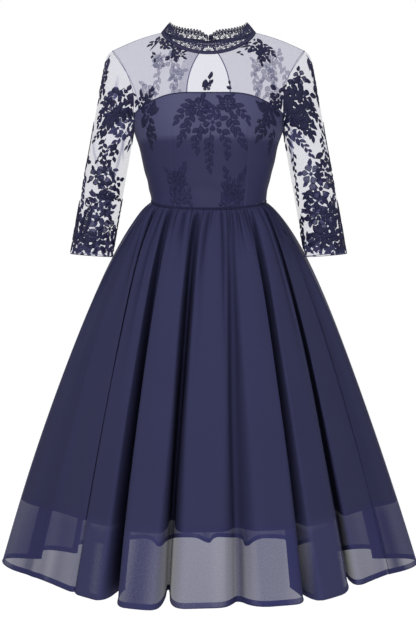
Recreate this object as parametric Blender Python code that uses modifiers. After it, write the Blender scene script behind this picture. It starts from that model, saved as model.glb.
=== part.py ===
"""A tea-length cocktail dress, held as it is worn.

Crochet stand collar, sheer net yoke with a keyhole back, three-quarter net sleeves, an opaque
bodice, a corded waist, and a fluted chiffon skirt over a shorter lining. Every piece is a thin
wall whose points follow a surface worked out from the tables below. Metres, +Z up, the front
towards -Y. The origin is the middle of the neck opening, level with the shoulders at the neck.
"""

import math
from collections import namedtuple

import bmesh
import bpy
import numpy as np
from mathutils import Matrix

# ---- driving dimensions -------------------------------------------------------------------

GAP = 0.0003                # left between two pieces that meet
NET_WALL = 0.0012
CHIFFON_WALL = 0.0012
LINING_WALL = 0.0010
BODICE_WALL = 0.0016
LACE_WALL = 0.0016
CORD_WALL = 0.0020

SQUARENESS = 2.3            # 2 is an ellipse, more is squarer
BUST_X, BUST_Z = 0.076, -0.214
BUST_RISE, BUST_REACH = 0.012, 0.055
BUST_SIDE_FADE = 3          # the bust dies away where the cosine of the turn is under 1/3

Section = namedtuple("Section", "z half_width front back")
TORSO = (
    Section(-0.378, 0.1190, 0.0860, 0.0790),
    Section(-0.344, 0.1176, 0.0850, 0.0760),
    Section(-0.310, 0.1240, 0.0900, 0.0780),
    Section(-0.270, 0.1340, 0.0990, 0.0850),
    Section(-0.236, 0.1415, 0.1060, 0.0910),
    Section(-0.199, 0.1527, 0.1070, 0.0940),
    Section(-0.170, 0.1550, 0.1040, 0.0940),
    Section(-0.130, 0.1550, 0.0980, 0.0920),
)

WAIST_Z = -0.344            # at the side seams
WAIST_FRONT_DROP = 0.023    # how much lower the waist is at the centre front
WAIST_BACK_DROP = 0.010
BAND_HALF_HEIGHT = 0.0027

TopEdge = namedtuple("TopEdge", "turn z")           # turn in degrees from the centre front
BODICE_TOP = (
    TopEdge(0, -0.1385),
    TopEdge(20, -0.1390),
    TopEdge(29, -0.1420),
    TopEdge(41, -0.1500),
    TopEdge(56, -0.1610),
    TopEdge(74, -0.1750),
)
ARMHOLE_CORNER_Z = -0.175   # where the bodice's top edge meets the armhole
BACK_TOP_Z = -0.172
ARMHOLE_FADE = 4            # power by which the body bends over to the armhole's ring

NECK_HALF_WIDTH = 0.097
NECK_FRONT, NECK_BACK = 0.065, 0.055
NECK_FRONT_DROP, NECK_BACK_DROP = 0.0566, 0.010
NECK_DROP_POWER = 1.3       # on the cosine of the turn
SHOULDER_CROWN = 0.0035     # how far the shoulder line bows up between neck and sleeve
Slope = namedtuple("Slope", "level up")
YOKE_NECK_SLOPE = Slope(0.55, 0.80)                 # of the yoke at the middle of the neck
YOKE_SHOULDER_SLOPE = Slope(1.00, 0.20)
YOKE_SIDE_FADE = 3          # power by which the yoke bends over to the armhole's ring
COLLAR_SCALE = (0.80, 0.79)                         # top ring against the base, across and deep
COLLAR_RISE, COLLAR_SIDE_RISE = 0.027, 0.0236
SCALLOP_DIP = 0.11                                  # of the collar's height
COLLAR_NOTCH, COLLAR_NOTCH_REACH = 0.42, 0.016      # its ends round off at the centre back
COLLAR_ROWS = (0.0, 0.16, 0.38, 0.50, 0.78, 1.0)    # ribbon, ladder, bar, fans, picot edge
COLLAR_OPEN_ROWS = (1, 3)

KEYHOLE_HALF_WIDTH = 0.046
KEYHOLE_SKEW, KEYHOLE_FULLNESS = 0.678, 0.7

SleeveRow = namedtuple("SleeveRow", "outer_x outer_z inner_x inner_z half_depth centre_y")
SLEEVE = (
    SleeveRow(0.1970, -0.0375, 0.1527, -0.1990, 0.0580, 0.000),
    SleeveRow(0.2085, -0.0520, 0.1532, -0.2040, 0.0575, 0.000),
    SleeveRow(0.2195, -0.1046, 0.1548, -0.2130, 0.0545, 0.000),
    SleeveRow(0.2318, -0.1700, 0.1575, -0.2280, 0.0500, -0.001),
    SleeveRow(0.2435, -0.2360, 0.1615, -0.2520, 0.0465, -0.002),
    SleeveRow(0.2522, -0.2850, 0.1675, -0.2890, 0.0450, -0.004),
    SleeveRow(0.2634, -0.3506, 0.1780, -0.3530, 0.0440, -0.008),
    SleeveRow(0.2728, -0.4040, 0.1870, -0.4060, 0.0425, -0.012),
    SleeveRow(0.2810, -0.4530, 0.1960, -0.4590, 0.0410, -0.016),
)
ARMHOLE_FRONT_INSET, ARMHOLE_BACK_INSET = 0.020, 0.024
INSET_FADE = 0.35           # share of the sleeve over which the inset dies away
LAP_START, LAP_REACH = 0.25, 0.35   # on minus the cosine of the turn: where sleeve laps body

HEM_Z = -1.090
LINING_LENGTH = 0.824       # share of the skirt's length
FLARE = 0.72                # the silhouette follows length ** FLARE
WAIST_EASE, WAIST_EASE_LENGTH = 0.30, 0.04          # and starts less steeply at the waist
FOLD_GROWTH = 0.85          # the folds deepen as length ** FOLD_GROWTH
GATHER_DEPTH, GATHER_LENGTH = 0.0036, 0.040
FOLD_ROUNDNESS = 0.72       # 0.5 gives pointed crests, 1 full round ones
STEPS_PER_FOLD_SIDE = 4
SKIRT_ROWS = (0.0, 0.015, 0.045, 0.10, 0.20, 0.36, 0.56, 0.78, 1.0)
LiningRow = namedtuple("LiningRow", "share inset")      # inset from the chiffon
LINING = (
    LiningRow(0.0, 0.0036),
    LiningRow(0.045, 0.0062),
    LiningRow(0.20, 0.0048),
    LiningRow(0.50, 0.0050),
    LiningRow(LINING_LENGTH, 0.0050),
)
CREST_ROOM = 0.40           # the inset stays under this share of a fold's radius
STRAIGHT_RADIUS = 1000.0    # stands for the radius of a ring where it runs straight

# One row for each flute, from the wearer's right side across the front and round the back. Each
# has its crest and the valley after it: degrees round the waist, and its place in the hem.
Flute = namedtuple("Flute", "crest_turn crest_x crest_y valley_turn valley_x valley_y")
FLUTES = (
    Flute(-90, -0.427, 0.030, -78, -0.350, -0.110),
    Flute(-67, -0.280, -0.218, -56, -0.244, -0.168),
    Flute(-46, -0.222, -0.308, -36, -0.158, -0.228),
    Flute(-21, -0.127, -0.402, -7, -0.074, -0.240),
    Flute(5, -0.015, -0.397, 17, 0.052, -0.342),
    Flute(27, 0.132, -0.374, 37, 0.155, -0.205),
    Flute(50, 0.226, -0.308, 64, 0.268, -0.125),
    Flute(71, 0.318, -0.152, 79, 0.362, -0.090),
    Flute(90, 0.431, 0.030, 101, 0.345, 0.075),
    Flute(112, 0.365, 0.165, 122, 0.268, 0.150),
    Flute(132, 0.262, 0.262, 142, 0.178, 0.195),
    Flute(151, 0.150, 0.318, 161, 0.085, 0.222),
    Flute(171, 0.045, 0.335, 180, 0.000, 0.262),
    Flute(189, -0.058, 0.330, 199, -0.108, 0.215),
    Flute(209, -0.168, 0.310, 219, -0.205, 0.185),
    Flute(229, -0.275, 0.250, 239, -0.285, 0.135),
    Flute(248, -0.372, 0.150, 259, -0.352, 0.070),
)
SIDE_FLUTE = 8              # the flute whose crest is the other side seam
BACK_FLUTE = 12             # the flute whose valley is the centre-back seam

ZIP_HALF_WIDTH, ZIP_WALL, ZIP_INSET = 0.0025, 0.0010, 0.0020
ZIP_TOP_Z = -0.176
ZIP_SKIRT_SHARE = 0.15     # how far down the skirt the zip runs
SLIDER_WIDTH, SLIDER_HEIGHT, SLIDER_DEPTH = 0.0050, 0.0090, 0.0020
BRIDGE_WIDTH, BRIDGE_BAR, BRIDGE_REACH = 0.0014, 0.0010, 0.0022
PULL_AXIS_RISE = 0.0014     # of the tab's axis over the middle of the bridge's lower leg
TAB_LENGTH, TAB_TOP_WIDTH, TAB_END_WIDTH, TAB_WALL = 0.0240, 0.0046, 0.0052, 0.0010
TAB_WINDOW_WIDTH, TAB_WINDOW_LENGTH = 0.0024, 0.0066
TAB_END_POINTS = 9
BUTTON_RADIUS, BUTTON_WALL, BUTTON_ROUNDING = 0.0046, 0.0026, 0.0009
LOOP_WIRE, LOOP_REACH, LOOP_POINTS = 0.0006, 145, 15     # reach in degrees each way
WELD = 0.00001              # points of a filled outline nearer than this are one

# ---- helpers ------------------------------------------------------------------------------


def column(rows, name):
    """One named column of a table, as an array."""
    return np.array([getattr(row, name) for row in rows])


def spline(at, places, values):
    """Smooth curve through values at rising places; each slope comes from its neighbours."""
    places = np.asarray(places, dtype=float)
    slopes = np.gradient(values, places)
    k = np.clip(np.searchsorted(places, at, side="right") - 1, 0, len(places) - 2)
    span = places[k + 1] - places[k]
    s = np.clip((at - places[k]) / span, 0.0, 1.0)
    start = (1 + 2 * s) * (1 - s) ** 2 * values[k] + s * (1 - s) ** 2 * span * slopes[k]
    end = s * s * (3 - 2 * s) * values[k + 1] - s * s * (1 - s) * span * slopes[k + 1]
    return start + end


def table(rows, key, name, at):
    """A table's column read smoothly where its key column has the values at."""
    places = column(rows, key)
    return spline(np.clip(at, places.min(), places.max()), places, column(rows, name))


def unit(vectors):
    return vectors / np.linalg.norm(vectors, axis=-1, keepdims=True)


def grid_normals(points, around=False):
    """Outward normals of a grid whose rows rise and whose columns run anticlockwise."""
    if around:
        wrapped = np.concatenate([points[:, -1:], points, points[:, :1]], axis=1)
        along = np.gradient(wrapped, axis=1)[:, 1:-1]
    else:
        along = np.gradient(points, axis=1)
    return unit(np.cross(along, np.gradient(points, axis=0)))


def trimmed(points, top=False, bottom=False, left=False, right=False):
    """The grid with its named edges drawn in by half a seam's gap."""
    out = points.copy()
    edges = (
        (bottom, out[0], points[1]), (top, out[-1], points[-2]),
        (left, out[:, 0], points[:, 1]), (right, out[:, -1], points[:, -2]),
    )
    for wanted, edge, inner in edges:
        if wanted:
            edge += unit(inner - edge) * GAP / 2
    return out


def mirrored(grid):
    """A piece's grid for the other side of the body."""
    return grid[:, ::-1] * (-1.0, 1.0, 1.0)


def new_material(name, colour, roughness, metallic=0.0):
    material = bpy.data.materials.new(name)
    material.use_nodes = True
    shader = material.node_tree.nodes["Principled BSDF"]
    shader.inputs["Base Color"].default_value = (*colour, 1.0)
    shader.inputs["Roughness"].default_value = roughness
    shader.inputs["Metallic"].default_value = metallic
    return material


def finish(piece, collection, colour, roughness, metallic=0.0):
    """Give a piece its own material and put it in the dress's collection alone."""
    piece.data.materials.clear()
    piece.data.materials.append(new_material(piece.name, colour, roughness, metallic))
    for holder in list(piece.users_collection):
        holder.objects.unlink(piece)
    collection.objects.link(piece)


def wall(name, points, normals, thickness, closed=False, cut=None):
    """A closed wall: the grid moved out and in along its normals, and rims at every open edge.

    closed joins the last column to the first. cut marks the cells that are left open.
    """
    rows, columns = points.shape[:2]
    cells = columns if closed else columns - 1
    kept = np.ones((rows - 1, cells), dtype=bool) if cut is None else ~cut
    count = rows * columns
    half = normals * thickness / 2
    vertices = np.concatenate([(points + half).reshape(-1, 3), (points - half).reshape(-1, 3)])

    def index(row, col):
        return row * columns + col % columns

    def is_kept(row, col):
        if closed:
            col %= columns
        return 0 <= row < rows - 1 and 0 <= col < cells and bool(kept[row, col])

    faces = []
    for row, col in zip(*np.nonzero(kept)):
        a, b = index(row, col), index(row, col + 1)
        c, d = index(row + 1, col + 1), index(row + 1, col)
        faces += [(a, b, c), (a, c, d)]
        faces += [(count + c, count + b, count + a), (count + d, count + c, count + a)]
        sides = (
            (row - 1, col, a, b), (row, col + 1, b, c),
            (row + 1, col, c, d), (row, col - 1, d, a),
        )
        for near_row, near_col, start, end in sides:
            if not is_kept(near_row, near_col):
                faces += [(start, count + start, count + end), (start, count + end, end)]
    mesh = bpy.data.meshes.new(name)
    mesh.from_pydata(vertices.tolist(), [], faces)
    tidy = bmesh.new()
    tidy.from_mesh(mesh)
    loose = [vertex for vertex in tidy.verts if not vertex.link_faces]
    bmesh.ops.delete(tidy, geom=loose, context="VERTS")
    tidy.to_mesh(mesh)
    tidy.free()
    mesh.shade_smooth()
    piece = bpy.data.objects.new(name, mesh)
    bpy.context.scene.collection.objects.link(piece)
    return piece


# ---- the body's surface -------------------------------------------------------------------


def torso(turn, z):
    """Points of the body at a turn from the centre front (radians, towards +X) and a height."""
    turn, z = np.broadcast_arrays(np.asarray(turn, dtype=float), np.asarray(z, dtype=float))
    c, s = np.cos(turn), np.sin(turn)
    power = 2 / SQUARENESS
    depth = np.where(c > 0, table(TORSO, "z", "front", z), table(TORSO, "z", "back", z))
    x = table(TORSO, "z", "half_width", z) * np.sign(s) * np.abs(s) ** power
    y = -depth * np.sign(c) * np.abs(c) ** power
    for side in (-1, 1):
        reach = ((x - side * BUST_X) ** 2 + (z - BUST_Z) ** 2) / BUST_REACH ** 2
        bump = BUST_RISE * np.exp(-reach) * np.clip(c * BUST_SIDE_FADE, 0, 1)
        y = y - np.where(c > 0, bump, 0.0)
    return np.stack([x, y, z], axis=-1)


def waist_height(turn):
    """Height of the waist seam, which dips a little at the front and at the back."""
    c = np.cos(turn)
    return WAIST_Z - np.where(c > 0, WAIST_FRONT_DROP, WAIST_BACK_DROP) * np.abs(c)


def armhole(turn, row=SLEEVE[0], inset_share=1.0):
    """A ring of the left sleeve: turn 0 is its outer point, and the front is positive."""
    c, s = np.cos(turn), np.sin(turn)
    inset = np.where(s > 0, ARMHOLE_FRONT_INSET, ARMHOLE_BACK_INSET) * s * s * inset_share
    x = (row.outer_x + row.inner_x) / 2 + (row.outer_x - row.inner_x) / 2 * c - inset
    z = (row.outer_z + row.inner_z) / 2 + (row.outer_z - row.inner_z) / 2 * c
    return np.stack([x, row.centre_y - row.half_depth * s, z], axis=-1)


def corner_turn():
    """Turn of the armhole ring where the bodice's top edge meets it."""
    first = SLEEVE[0]
    middle = (first.outer_z + first.inner_z) / 2
    return math.acos((ARMHOLE_CORNER_Z - middle) / ((first.outer_z - first.inner_z) / 2))


def torso_turn(points, front):
    """Turn at which the body has the depth of each point of the left armhole."""
    depth = table(TORSO, "z", "front" if front else "back", points[:, 2])
    turn = np.arccos(np.clip((np.abs(points[:, 1]) / depth) ** (SQUARENESS / 2), 0, 1))
    return turn if front else math.pi - turn


def neck(turn):
    """Neck seam: turn in radians from the centre front, towards +X."""
    c = np.cos(turn)
    y = -np.where(c > 0, NECK_FRONT, NECK_BACK) * c
    z = -np.where(c > 0, NECK_FRONT_DROP, NECK_BACK_DROP) * np.abs(c) ** NECK_DROP_POWER
    return np.stack([NECK_HALF_WIDTH * np.sin(turn), y, z], axis=-1)


def hermite(start, end, start_slope, end_slope, t):
    """Rows of a cubic from each start to each end point with the given slopes there."""
    t = t[:, None, None]
    near = (1 + 2 * t) * (1 - t) ** 2 * start + t * (1 - t) ** 2 * start_slope
    far = t * t * (3 - 2 * t) * end - t * t * (1 - t) * end_slope
    return near + far


# ---- counts of rows and columns -----------------------------------------------------------

BODICE_ROWS = 5
YOKE_ROWS = 5
FRONT_TOP_COLUMNS = 14      # half of the front top edge
BACK_TOP_COLUMNS = 13       # half of the back top edge
ARMHOLE_COLUMNS = 4         # from the top edge's corner to the underarm
SHOULDER_COLUMNS = 5
NECK_FRONT_COLUMNS = 9      # half of the front neck
NECK_BACK_COLUMNS = 8
COLLAR_SPLIT = 3            # collar columns to each column of the yoke


def bodice_ring():
    """The whole bodice as one ring of columns from the left side of the front round the body.

    Returns its grid (rows from the waist up) and its normals. Column 0 is the right underarm.
    """
    corner = corner_turn()
    front_ring = armhole(np.linspace(corner, math.pi, ARMHOLE_COLUMNS + 1))
    back_ring = armhole(-np.linspace(corner, math.pi, ARMHOLE_COLUMNS + 1))
    front_turn, back_turn = torso_turn(front_ring, True), torso_turn(back_ring, False)
    main_front = np.linspace(0, front_turn[0], FRONT_TOP_COLUMNS + 1)[:-1]
    main_back = np.linspace(math.pi, back_turn[0], BACK_TOP_COLUMNS + 1)[:-1]

    front_z = spline(np.degrees(main_front), column(BODICE_TOP, "turn"), column(BODICE_TOP, "z"))
    back_share = np.linspace(0, 1, BACK_TOP_COLUMNS + 1)[:-1]
    back_z = BACK_TOP_Z + (ARMHOLE_CORNER_Z - BACK_TOP_Z) * back_share
    half_turns = np.concatenate([main_front, front_turn, back_turn[::-1][1:], main_back[::-1]])
    half_top = np.concatenate([front_z, front_ring[:, 2], back_ring[::-1][1:, 2], back_z[::-1]])

    shift = np.zeros((len(half_turns), 3))
    ring_points = np.concatenate([front_ring, back_ring[::-1][1:]])
    first = FRONT_TOP_COLUMNS
    last = first + len(ring_points)
    shift[first:last] = ring_points - torso(half_turns[first:last], half_top[first:last])
    rising = np.linspace(0, 1, first + 1)[:-1, None] ** ARMHOLE_FADE
    falling = np.linspace(1, 0, len(half_turns) - last + 1)[1:, None] ** ARMHOLE_FADE
    shift[:first] = shift[first] * rising
    shift[last:] = shift[last - 1] * falling

    share = np.linspace(0, 1, BODICE_ROWS + 1)[:, None]
    low = waist_height(half_turns) + BAND_HALF_HEIGHT + GAP / 2
    half = torso(half_turns, low + share * (half_top - low)) + shift * share[:, :, None] ** 2
    other = half[:, 1:-1][:, ::-1] * (-1.0, 1.0, 1.0)
    ring = np.concatenate([half, other], axis=1)
    ring = np.roll(ring, first + ARMHOLE_COLUMNS, axis=1)
    return ring, grid_normals(ring, around=True)


def yoke_half(lower, lower_slope, neck_turns, ring, front):
    """Left half of the yoke's front or back, its first column on the centre line.

    Each column is a cubic from the bodice's top edge to the neck or the shoulder. The last
    column is the armhole ring, and the difference fades out over the columns next to it.
    """
    shoulder_end = ring[-1]
    neck_line = neck(neck_turns)
    share = np.linspace(0, 1, SHOULDER_COLUMNS + 1)[1:, None]
    shoulder = neck_line[-1] + (shoulder_end - neck_line[-1]) * share
    shoulder[:, 2] += SHOULDER_CROWN * np.sin(math.pi * share[:, 0])
    upper = np.concatenate([neck_line, shoulder])
    outward = np.clip(np.abs(upper[:, :1]) / NECK_HALF_WIDTH, 0, 1)
    over = 1.0 if front else -1.0
    level, up = (at_neck + (at_shoulder - at_neck) * outward
                 for at_neck, at_shoulder in zip(YOKE_NECK_SLOPE, YOKE_SHOULDER_SLOPE))
    upper_slope = np.concatenate([np.zeros_like(level), over * level, up], axis=1)
    reach = np.linalg.norm(upper - lower, axis=1, keepdims=True)
    t = np.linspace(0, 1, YOKE_ROWS + 1)
    grid = hermite(lower, upper, unit(lower_slope) * reach, unit(upper_slope) * reach, t)
    miss = ring - grid[:, -1]
    fade = np.linspace(0, 1, grid.shape[1])[None, :, None] ** YOKE_SIDE_FADE
    return grid + miss[:, None] * fade


def keyhole(grid):
    """Slide the columns of a back half towards the armhole to open the keyhole at its centre."""
    rows, columns = grid.shape[:2]
    t = np.linspace(0, 1, rows)
    opening = KEYHOLE_HALF_WIDTH * np.sin(math.pi * t ** KEYHOLE_SKEW) ** KEYHOLE_FULLNESS
    opening[-1] = 0.0
    out = np.empty_like(grid)
    share = np.linspace(0, 1, columns)
    for row in range(rows):
        line = grid[row]
        start = np.interp(opening[row], line[:, 0], share)
        places = start + (1 - start) * share
        for axis in range(3):
            out[row, :, axis] = np.interp(places, share, line[:, axis])
    return out


def neck_columns():
    """Turns of the neck seam at the yoke's columns: the left half of the front and of the back."""
    return (np.linspace(0, math.pi / 2, NECK_FRONT_COLUMNS + 1),
            np.linspace(math.pi, math.pi / 2, NECK_BACK_COLUMNS + 1))


def collar_surface(front_normals, back_normals):
    """Grid and normals of the whole collar, from its right end round the front to the back.

    Its lowest normals and those of the yoke's neck edge become the mean of the two.
    """
    front_neck, back_neck = neck_columns()
    turns = np.concatenate([
        -front_neck[::-1], front_neck[1:], back_neck[::-1][1:], math.tau - back_neck[1:],
    ])
    knots = np.arange(len(turns))
    fine = np.linspace(0, knots[-1], knots[-1] * COLLAR_SPLIT + 1)

    def between_columns(values):
        return np.stack([np.interp(fine, knots, values[:, axis]) for axis in range(3)], axis=-1)

    fine_turns = np.interp(fine, knots, turns)
    base = between_columns(neck(turns))
    rise = COLLAR_RISE + (COLLAR_SIDE_RISE - COLLAR_RISE) * np.sin(fine_turns) ** 2
    notch = np.exp(-(base[:, 0] / COLLAR_NOTCH_REACH) ** 2) * (np.cos(fine_turns) < 0)
    top = base * (*COLLAR_SCALE, 1.0)
    top[:, 2] = base[:, 2] + rise * (1 - COLLAR_NOTCH * notch)
    heights = np.array(COLLAR_ROWS)[:, None] * np.ones(len(fine))
    heights[-1] -= SCALLOP_DIP * (np.arange(len(fine)) % 2)
    collar = base + (top - base) * heights[:, :, None]

    normals = grid_normals(collar)
    normals[:, 0] = normals[:, -1] = unit(normals[:, 0] + normals[:, -1])
    half_back = back_normals[-1, SHOULDER_COLUMNS + 1:]
    yoke_neck = np.concatenate([
        front_normals[-1, SHOULDER_COLUMNS:-SHOULDER_COLUMNS], half_back,
        half_back[:-1][::-1] * (-1.0, 1.0, 1.0), front_normals[-1, SHOULDER_COLUMNS][None],
    ])
    yoke_neck = unit(yoke_neck + normals[0, ::COLLAR_SPLIT])
    normals[0] = unit(between_columns(yoke_neck))
    front_end = 2 * NECK_FRONT_COLUMNS
    front_normals[-1, SHOULDER_COLUMNS:-SHOULDER_COLUMNS] = yoke_neck[:front_end + 1]
    back_normals[-1, SHOULDER_COLUMNS:] = yoke_neck[front_end:front_end + NECK_BACK_COLUMNS + 1]
    return collar, normals


def upper_body():
    """Grids and normals of the bodice, the yoke, the sleeve and the collar, with shared edges."""
    ring, normals = bodice_ring()
    slope = ring[-1] - ring[-2]
    centre = FRONT_TOP_COLUMNS + ARMHOLE_COLUMNS
    total = ring.shape[1]
    back_centre = centre + total // 2
    corner = corner_turn()
    side_turns = np.linspace(corner, 0, YOKE_ROWS + 1)
    front_neck, back_neck = neck_columns()

    front_columns = np.arange(centre, centre + FRONT_TOP_COLUMNS + 1)
    back_columns = np.arange(back_centre, back_centre - BACK_TOP_COLUMNS - 1, -1) % total
    front = yoke_half(ring[-1, front_columns], slope[front_columns], front_neck,
                      armhole(side_turns), True)
    back = keyhole(yoke_half(ring[-1, back_columns], slope[back_columns], back_neck,
                             armhole(-side_turns), False))
    whole_front = np.concatenate([mirrored(front), front[:, 1:]], axis=1)
    left_back = back[:, ::-1]
    front_normals, back_normals = grid_normals(whole_front), grid_normals(left_back)

    sleeve_turns = np.concatenate([
        side_turns[::-1], np.linspace(corner, math.pi, ARMHOLE_COLUMNS + 1)[1:],
        2 * math.pi - np.linspace(math.pi, corner, ARMHOLE_COLUMNS + 1)[1:],
        2 * math.pi - side_turns[1:-1],
    ])
    shares = np.linspace(0, 1, len(SLEEVE))
    insets = np.clip(1 - shares / INSET_FADE, 0, 1) ** 2
    sleeve = np.stack([armhole(sleeve_turns, row, inset) for row, inset in zip(SLEEVE, insets)])
    sleeve_normals = grid_normals(sleeve, around=True)

    # the yoke and the bodice share the mean of their normals along the top edge
    for columns, part_normals in (
        (front_columns, front_normals[0, FRONT_TOP_COLUMNS:]),
        (back_columns, back_normals[0, ::-1]),
    ):
        mean = unit(normals[-2, columns] + part_normals)
        normals[-1, columns] = mean
        part_normals[:] = mean

    # front and back of the yoke share theirs along the shoulder
    shoulder = unit(front_normals[-1, -SHOULDER_COLUMNS - 1:]
                    + back_normals[-1, SHOULDER_COLUMNS::-1])
    front_normals[-1, -SHOULDER_COLUMNS - 1:] = shoulder
    back_normals[-1, :SHOULDER_COLUMNS + 1] = shoulder[::-1]

    # at the armhole the body and the sleeve share theirs, but lie side by side at the underarm
    underarm = np.arange(1, 2 * ARMHOLE_COLUMNS) + centre + FRONT_TOP_COLUMNS
    body_ring = np.concatenate([
        front_normals[::-1, -1], normals[-1, underarm], back_normals[:-1, 0],
    ])
    lapped = np.clip((-np.cos(sleeve_turns) - LAP_START) / LAP_REACH, 0, 1)[:, None]
    mean = unit(unit(sleeve_normals[0]) + unit(body_ring)) * (1 - lapped)
    on_body = unit(mean + body_ring * lapped)
    sleeve[0] += body_ring * lapped * (BODICE_WALL / 2 + NET_WALL / 2 + 2 * GAP)
    sleeve_normals[0] = unit(mean + sleeve_normals[0] * lapped)
    front_normals[:, -1] = on_body[YOKE_ROWS::-1]
    normals[-1, underarm] = on_body[YOKE_ROWS + 1:YOKE_ROWS + 2 * ARMHOLE_COLUMNS]
    back_normals[:-1, 0] = on_body[YOKE_ROWS + 2 * ARMHOLE_COLUMNS:]
    back_normals[-1, 0] = on_body[0]
    normals[-1, underarm[0] - 1] = front_normals[0, -1]
    normals[-1, underarm[-1] + 1] = back_normals[0, 0]

    # the right side mirrors the left
    front_normals[:, :FRONT_TOP_COLUMNS] = mirrored(front_normals[:, FRONT_TOP_COLUMNS + 1:])
    left = np.arange(centre + 1, back_centre)
    normals[:, (2 * centre - left) % total] = normals[:, left] * (-1.0, 1.0, 1.0)
    for middle in (centre, back_centre):
        normals[:, middle, 0] = 0.0

    collar, collar_normals = collar_surface(front_normals, back_normals)
    return {
        "bodice": (ring, normals, centre, back_centre),
        "front": (whole_front, front_normals),
        "back": (left_back, back_normals),
        "sleeve": (sleeve, sleeve_normals),
        "collar": (collar, collar_normals),
    }


# ---- skirt --------------------------------------------------------------------------------


def closed_curve(knots):
    """Smooth closed curve through the knots, with the same number of steps between any two."""
    before, after = np.roll(knots, 1, axis=0), np.roll(knots, -1, axis=0)
    beyond = np.roll(knots, -2, axis=0)
    s = np.arange(STEPS_PER_FOLD_SIDE)[None, :, None] / STEPS_PER_FOLD_SIDE
    start, end = knots[:, None], after[:, None]
    start_slope, end_slope = end - before[:, None], beyond[:, None] - start
    start_slope, end_slope = start_slope * FOLD_ROUNDNESS, end_slope * FOLD_ROUNDNESS
    curve = (1 + 2 * s) * (1 - s) ** 2 * start + s * (1 - s) ** 2 * start_slope
    curve = curve + s * s * (3 - 2 * s) * end - s * s * (1 - s) * end_slope
    return curve.reshape(-1, knots.shape[1])


def skirt_surface(shares, gathered=True):
    """Grid of the skirt's middle surface at shares of its length, hem last, and its normals."""
    crests = np.stack([column(FLUTES, "crest_x"), column(FLUTES, "crest_y")], axis=-1)
    valleys = np.stack([column(FLUTES, "valley_x"), column(FLUTES, "valley_y")], axis=-1)
    between = (crests + np.roll(crests, -1, axis=0)) / 2
    hem = closed_curve(np.stack([crests, valleys], axis=1).reshape(-1, 2))
    envelope = closed_curve(np.stack([crests, between], axis=1).reshape(-1, 2))

    knots = np.stack([column(FLUTES, "crest_turn"), column(FLUTES, "valley_turn")], axis=1).ravel()
    places = np.arange(len(knots) + 1)
    steps = np.arange(len(hem)) / STEPS_PER_FOLD_SIDE
    turns = np.radians(np.interp(steps, places, np.append(knots, knots[0] + 360)))

    top_z = waist_height(turns) - BAND_HALF_HEIGHT - GAP
    waist = torso(turns, top_z)
    t = np.asarray(shares)[:, None, None]
    flare = t ** FLARE * (1 - WAIST_EASE * np.exp(-t / WAIST_EASE_LENGTH))
    flat = waist[None, :, :2] + (envelope - waist[:, :2])[None] * flare
    flat = flat + (hem - envelope)[None] * t ** FOLD_GROWTH
    height = top_z[None, :] + (HEM_Z - top_z)[None, :] * t[:, :, 0]

    seam_step = (2 * BACK_FLUTE + 1) * STEPS_PER_FOLD_SIDE
    from_zip = np.abs(np.arange(len(hem)) - seam_step)
    wave = np.cos(math.pi / 2 * (np.arange(len(hem)) - seam_step)) * np.clip(from_zip / 2 - 1, 0, 1)
    swell = t[:, :, 0] / GATHER_LENGTH
    ripple = GATHER_DEPTH * gathered * wave[None, :] * swell * np.exp(1 - swell)
    outward = unit(np.gradient(waist[:, :2], axis=0)[:, ::-1] * (1.0, -1.0))
    flat = flat + ripple[:, :, None] * outward[None]
    points = np.concatenate([flat, height[:, :, None]], axis=2)

    upward = points[::-1]
    normals = grid_normals(upward, around=True)[::-1].copy()
    level = np.concatenate([outward, np.zeros((len(hem), 1))], axis=1)
    if shares[0] == 0:
        normals[0] = level
    return points, normals


def fold_radius(points):
    """Radius of each ring's plan at its columns where it bulges out, and large elsewhere."""
    plan = points[:, :, :2]
    before, after = np.roll(plan, 1, axis=1), np.roll(plan, -1, axis=1)
    near, far = plan - before, after - plan
    turning = near[..., 0] * far[..., 1] - near[..., 1] * far[..., 0]
    lengths = np.linalg.norm(near, axis=2) * np.linalg.norm(far, axis=2)
    chord = np.linalg.norm(after - before, axis=2)
    flattest = lengths * chord / STRAIGHT_RADIUS
    return lengths * chord / np.maximum(2 * turning, flattest)


def ring_span(grid, first, last):
    """Columns first to last of a closed grid, past its end where needed."""
    return grid[:, np.arange(first, last + 1) % grid.shape[1]]


# ---- pieces -------------------------------------------------------------------------------

NAVY = (0.050, 0.052, 0.105)
NET_TINT = (0.36, 0.36, 0.46)
LINING_TINT = (0.032, 0.033, 0.070)
METAL_TINT = (0.10, 0.10, 0.16)
SATIN, MATT, LACQUER = 0.45, 0.80, 0.35     # roughness
LACQUER_METALLIC = 0.8


def make_bodice(body, collection):
    ring, normals, centre, back_centre = body["bodice"]
    side = FRONT_TOP_COLUMNS + ARMHOLE_COLUMNS
    back = back_centre - centre - side
    spans = {
        "bodice_front": (centre - side, centre + side),
        "bodice_back_left": (centre + side, centre + side + back),
        "bodice_back_right": (centre + side + back, centre + side + 2 * back),
    }
    for name, (first, last) in spans.items():
        points = trimmed(ring_span(ring, first, last), top=True, left=True, right=True)
        piece = wall(name, points, ring_span(normals, first, last), BODICE_WALL)
        finish(piece, collection, NAVY, SATIN)


def make_waist_band(body, collection):
    """The corded band between bodice and skirt, open at the centre back for the zip."""
    ring, _, _, back_centre = body["bodice"]
    lowest = ring_span(ring, back_centre, back_centre + ring.shape[1])[0]
    seam = lowest[:, 2] - BAND_HALF_HEIGHT - GAP / 2
    heights = np.stack([seam - BAND_HALF_HEIGHT + GAP / 2, seam + BAND_HALF_HEIGHT - GAP / 2])
    points = np.broadcast_to(lowest, (2, *lowest.shape)).copy()
    points[:, :, 2] = heights
    level = np.gradient(lowest, axis=0)[:, [1, 0, 2]] * (1.0, -1.0, 0.0)
    normals = np.broadcast_to(unit(level), points.shape)
    piece = wall("waist_band", trimmed(points, left=True, right=True), normals, CORD_WALL)
    finish(piece, collection, NAVY, SATIN)


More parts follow.
